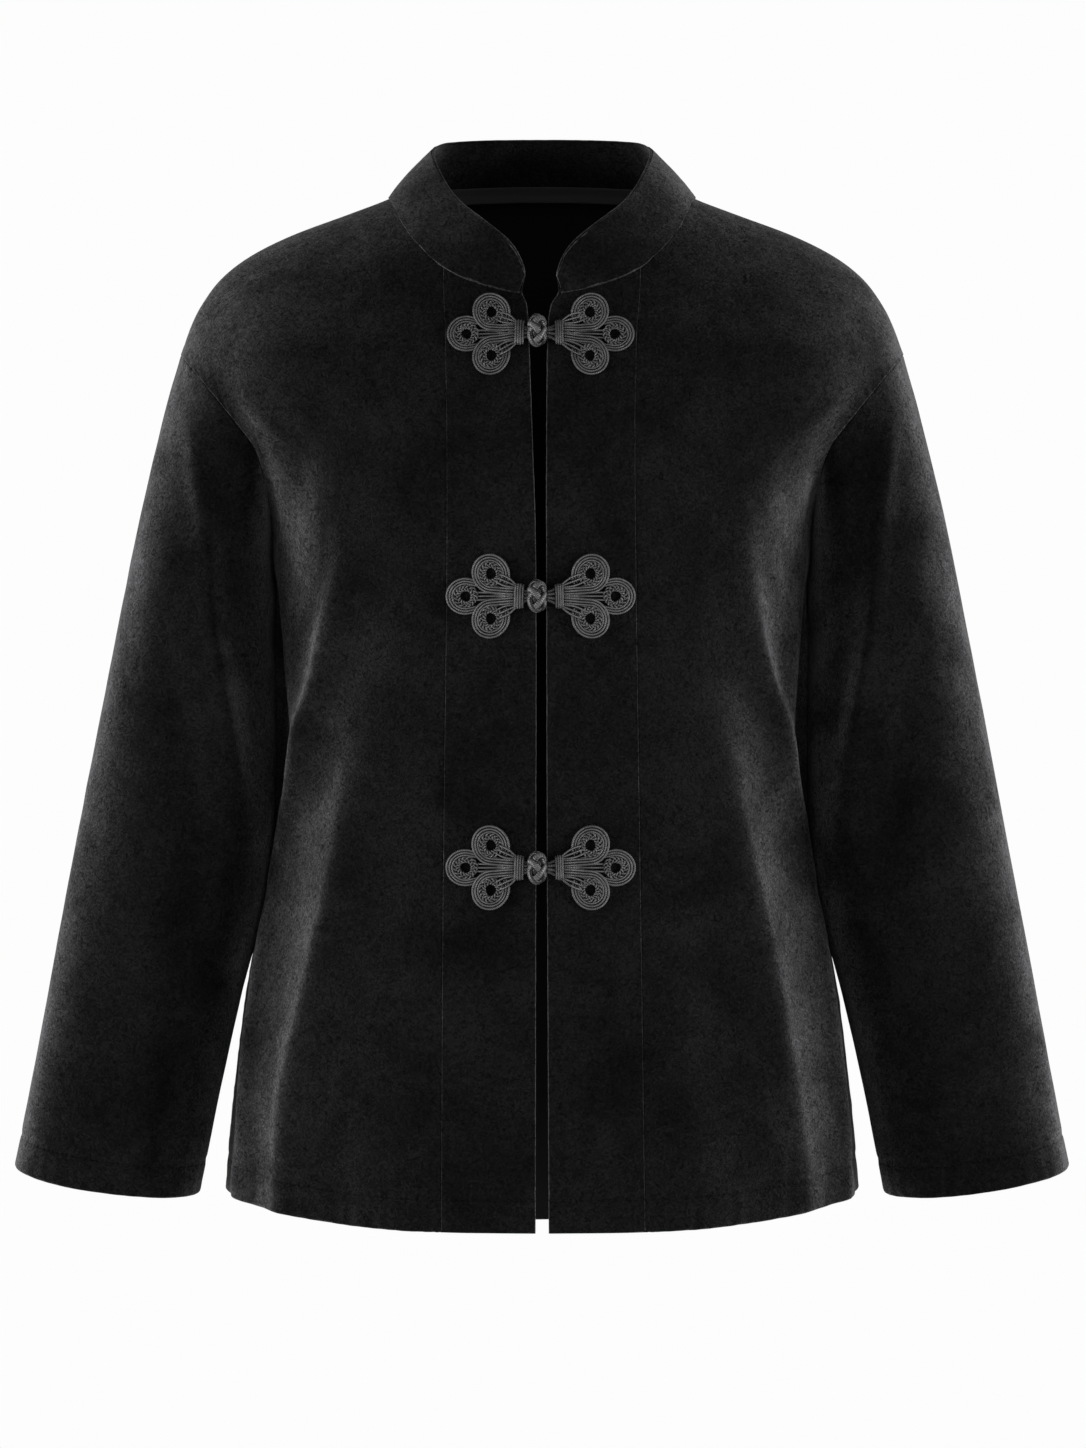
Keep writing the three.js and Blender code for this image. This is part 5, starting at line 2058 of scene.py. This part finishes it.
    def leads(self, cords: CordMesh, petal: Petal, flip: int) -> None:
        """Adds the strands that run from the binding to the braid.

        Args:
            cords: Mesh that takes them.
            petal: The petal.
            flip: 1, or -1 for upside down.
        """
        ups = self.lead_ups if petal.curled else self.flat_lead_ups
        centre = np.array([petal.out, petal.up])
        toward = np.array([self.hub_out, 4.0 if petal.curled else 0.0]) - centre
        toward /= np.linalg.norm(toward)
        beside = np.array([-toward[1], toward[0]])
        for k, up in enumerate(ups):
            start = np.array([self.hub_out, up])
            side = 1 - 2 * k / (len(ups) - 1)
            end = centre + toward * self.lead_end + beside * (self.lead_spread * side)
            share = np.linspace(0, 1, 20)[:, None]
            bow = beside * (self.lead_bow * side) * np.sin(math.pi * share)
            path = start + (end - start) * share + bow
            lift = self.lead_rise - 0.7 * ramp(share[:, 0], 0.6, 1.0) - petal.low
            self.lay(cords, path, lift, self.lead_radius, flip)

    def add_petals(self, cords: CordMesh) -> None:
        """Adds each petal's strands.

        Args:
            cords: Mesh that takes them.
        """
        for petal, flip in ((self.side_petal, 1), (self.round_petal, 1), (self.round_petal, -1)):
            for strand in self.strands:
                self.rim(cords, petal, strand, flip)
            self.leads(cords, petal, flip)
            self.braid(cords, petal, flip)

    def add_binding(self, cords: CordMesh) -> None:
        """Adds the turns of cord that bind the petals to the stem.

        Args:
            cords: Mesh that takes them.
        """
        pitch = (self.wrap - self.stem) / self.turns
        radius = self.coil_share * pitch
        turn = np.linspace(0, 2 * math.pi * self.turns, self.coil_steps * self.turns + 1)
        share = turn / turn[-1]
        swell = 0.9 + 0.1 * np.sin(math.pi * share)
        tall = np.sign(np.cos(turn)) * np.abs(np.cos(turn)) ** 0.85
        deep = np.sign(np.sin(turn)) * np.abs(np.sin(turn)) ** 0.75
        out = self.stem + radius + (self.wrap - self.stem - 2 * radius) * share
        up = self.coil_half * swell * tall
        lift = self.coil_lift + self.coil_thick * swell * deep
        path = self.place(out, up, lift)
        core = self.place(out, np.zeros_like(out), np.full_like(out, self.coil_lift))
        cords.sweep(path, path - core, radius, radius)

    def add_stem(self, cords: CordMesh) -> None:
        """Adds the strands that run from the binding to the knot.

        Args:
            cords: Mesh that takes them.
        """
        for start_up, end_up, lift in self.stem_strands:
            share = np.linspace(0, 1, 12)
            out = self.wrap - 1.0 - (self.wrap - 1.0 - self.tip) * share
            up = start_up + (end_up - start_up) * ramp(share, 0.3, 1.0)
            path = self.place(out, up, np.full_like(out, lift))
            cords.sweep(path, self.normals(out, up), self.stem_radius, self.stem_radius)

    def build(self, finishes: Finishes) -> Piece:
        """Makes the half frog and puts it in place.

        Args:
            finishes: The materials.

        Returns:
            The piece.
        """
        name = f"frog_{self.number}_{self.side.label}"
        cords = CordMesh(f"{name}_cord")
        self.add_petals(cords)
        self.add_binding(cords)
        self.add_stem(cords)
        piece = cords.finish(finishes.cord)
        put_in_place(piece, [name])
        return piece


@dataclass
class FrogKnot:
    """Button knot: one cord woven over and under itself round a small core."""

    number: int
    height: float
    middle: float = -3.0
    halves: Spot = (6.7, 6.2, 10.6)
    lift: float = 0.5
    leads: int = 3
    bights: int = 4
    reach: float = 1.12
    weave: float = 0.55
    cord_half: float = 2.25
    cord_thick: float = 1.5
    steps: int = 90
    start: float = 0.6
    core: float = 0.98

    def build(self, finishes: Finishes) -> Piece:
        """Makes the knot and puts it in place.

        Args:
            finishes: The materials.

        Returns:
            The piece.
        """
        spot = (self.middle, self.height, self.lift + self.halves[1])
        centre = FORM.over_front(*(np.array([value]) for value in spot))[0]
        sizes = np.array(self.halves) - self.cord_thick - self.weave
        angle = np.linspace(0, 2 * math.pi * self.leads, self.steps * self.leads, endpoint=False)
        wave = angle * self.bights / self.leads + self.start
        slant = self.reach * np.cos(wave)
        flat = np.cos(slant)
        unit = np.column_stack([np.sin(slant), flat * np.cos(angle), flat * np.sin(angle)])
        lift = self.weave * np.sin(2 * wave)
        normal = unit / np.array(self.halves)
        normal /= np.linalg.norm(normal, axis=1, keepdims=True)
        path = centre + unit * sizes + normal * lift[:, None]
        cords = CordMesh(f"frog_{self.number}_knot_cord")
        cords.sweep(path, normal, self.cord_half, self.cord_thick, closed=True)
        cords.ball(centre, sizes * self.core)
        piece = cords.finish(finishes.cord)
        put_in_place(piece, [f"frog_{self.number}_knot"])
        return piece


@dataclass
class Frogs:
    """The three closures down the front."""

    heights: Row = (-91.5, -249.5, -412.0)
    # stem, wrap, shift and tip of the halves
    right: tuple[float, float, float, float] = (10.2, 17.6, 0.0, 8.4)
    left: tuple[float, float, float, float] = (7.4, 13.8, -1.6, 3.0)

    def build(self, finishes: Finishes) -> None:
        """Makes each closure's two halves and its knot.

        Args:
            finishes: The materials.
        """
        for number, height in enumerate(self.heights, start=1):
            for side, sizes in ((Side.RIGHT, self.right), (Side.LEFT, self.left)):
                FrogHalf(number, height, side, *sizes).build(finishes)
            FrogKnot(number, height).build(finishes)


@dataclass(frozen=True)
class Softbox:
    """A square soft light, with its place and side in metres."""

    name: str
    place: Spot
    size: float
    watts: float


@dataclass
class Studio:
    """Camera at the photograph's angle, a pale floor and soft light. Sizes are metres."""

    camera_place: Spot = (0.0006, -3.6, -0.326)
    lens: float = 144.4
    sensor: float = 36.0
    floor_height: float = -1.38
    floor_radius: float = 3.5
    floor_tones: tuple[Colour, Colour] = ((0.80, 0.80, 0.80), (0.84, 0.84, 0.84))
    bright: float = 0.98
    dim: float = 0.26
    overhead: float = 0.12
    # share of the way from front to back, and up, over which the room changes
    back_start: float = -0.7
    back_end: float = 0.25
    up_start: float = 0.18
    up_end: float = 0.75
    lights: tuple[Softbox, ...] = (
        Softbox("softbox_right", (-2.7, -1.0, -0.45), 1.6, 62.0),
        Softbox("softbox_left", (2.7, -1.0, -0.35), 1.6, 58.0),
        Softbox("softbox_front", (0.3, -2.9, 0.9), 1.4, 9.0),
    )
    aim: Spot = (0.0, 0.0, -0.33)

    def build(self) -> None:
        """Makes the camera, the lights, the floor and the surroundings."""
        scene = bpy.context.scene
        camera = bpy.data.objects.new("camera", bpy.data.cameras.new("camera"))
        camera.data.lens = self.lens
        camera.data.sensor_width = self.sensor
        camera.location = self.camera_place
        camera.rotation_euler = (math.pi / 2, 0.0, 0.0)
        scene.collection.objects.link(camera)
        scene.camera = camera
        for box in self.lights:
            lamp = bpy.data.lights.new(box.name, "AREA")
            lamp.size = box.size
            lamp.energy = box.watts
            light = bpy.data.objects.new(box.name, lamp)
            light.location = box.place
            away = Vector(self.aim) - Vector(box.place)
            light.rotation_euler = away.to_track_quat("-Z", "Y").to_euler()
            scene.collection.objects.link(light)
        scene.world = self.surroundings()
        scene.view_settings.view_transform = "Standard"
        self.build_floor()

    @staticmethod
    def grade(tree: bpy.types.NodeTree, source: bpy.types.NodeSocket, values: Sequence[float]) -> Node:
        """Adds a grade of light along one direction.

        Args:
            tree: Nodes of the room.
            source: Output with the direction's share.
            values: Start and end of the grade, and its levels there.

        Returns:
            The node with the level.
        """
        node = tree.nodes.new("ShaderNodeMapRange")
        for name, value in zip(("From Min", "From Max", "To Min", "To Max"), values):
            node.inputs[name].default_value = value
        tree.links.new(source, node.inputs["Value"])
        return node

    def surroundings(self) -> bpy.types.World:
        """Makes a room that is white behind the jacket and dimmer in front of it.

        Returns:
            The world.
        """
        world = bpy.data.worlds.new("surroundings")
        world.use_nodes = True
        tree = world.node_tree
        place = tree.nodes.new("ShaderNodeTexCoord")
        parts = tree.nodes.new("ShaderNodeSeparateXYZ")
        tree.links.new(place.outputs["Generated"], parts.inputs[0])
        behind = (self.back_start, self.back_end, self.dim, self.bright)
        reach = self.grade(tree, parts.outputs["Y"], behind)
        reach.interpolation_type = "SMOOTHSTEP"
        above = (self.up_start, self.up_end, 1.0, self.overhead)
        ceiling = self.grade(tree, parts.outputs["Z"], above)
        level = tree.nodes.new("ShaderNodeMath")
        level.operation = "MULTIPLY"
        for k, part in enumerate((reach, ceiling)):
            tree.links.new(part.outputs[0], level.inputs[k])
        tree.links.new(level.outputs[0], tree.nodes["Background"].inputs["Color"])
        return world

    def build_floor(self) -> None:
        """Makes the pale floor."""
        mesh = bpy.data.meshes.new("floor")
        disc = bmesh.new()
        place = Matrix.Translation((0.0, 0.0, self.floor_height))
        bmesh.ops.create_circle(disc, cap_ends=True, segments=96, radius=self.floor_radius, matrix=place)
        disc.to_mesh(mesh)
        disc.free()
        shader = Shader("floor_paper")
        shader.set_look(shader.mix(shader.noise(2.0, 2.0), *self.floor_tones), 0.9)
        mesh.materials.append(shader.material)
        floor = bpy.data.objects.new("floor", mesh)
        bpy.context.scene.collection.objects.link(floor)


# height, distance from the middle of the right and left front edge and band seam
FRONT_LINES = (
    (-660, 3.9, 4.2, 60.3, 62.0),
    (-435, 3.6, 3.1, 59.4, 59.2),
    (-224, 3.6, 2.5, 57.2, 56.4),
    (-143, 6.0, 2.6, 57.4, 56.0),
    (-86, 8.1, 3.5, 58.6, 57.4),
    (-72, 9.1, 5.4, 59.3, 58.8),
    (-64.5, 12.0, 9.7, 59.7, 59.4),
    (-48, 12.6, 10.4, 60.0, 60.0),
)
RIGHT_EDGE, LEFT_EDGE, RIGHT_SEAM, LEFT_SEAM = (
    tuple((row[0], row[column]) for row in FRONT_LINES) for column in range(1, 5)
)


def main() -> None:
    """Builds the jacket, piece by piece, and its studio."""
    logging.basicConfig(level=logging.INFO, format="%(name)s: %(message)s")
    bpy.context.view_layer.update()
    finishes = Finishes()
    finishes.dress_frame()
    BackPanel().build(finishes)
    FrontPanel(side=Side.RIGHT, seam=RIGHT_SEAM).build(finishes)
    FrontPanel(side=Side.LEFT, seam=LEFT_SEAM).build(finishes)
    FrontBand(Side.RIGHT, RIGHT_EDGE, RIGHT_SEAM).build(finishes)
    FrontBand(Side.LEFT, LEFT_EDGE, LEFT_SEAM).build(finishes)
    for side in Side:
        Sleeve(side).build(finishes)
    StandCollar().build(finishes)
    NeckTape().build(finishes)
    Frogs().build(finishes)
    Studio().build()


if __name__ == "__main__":
    main()
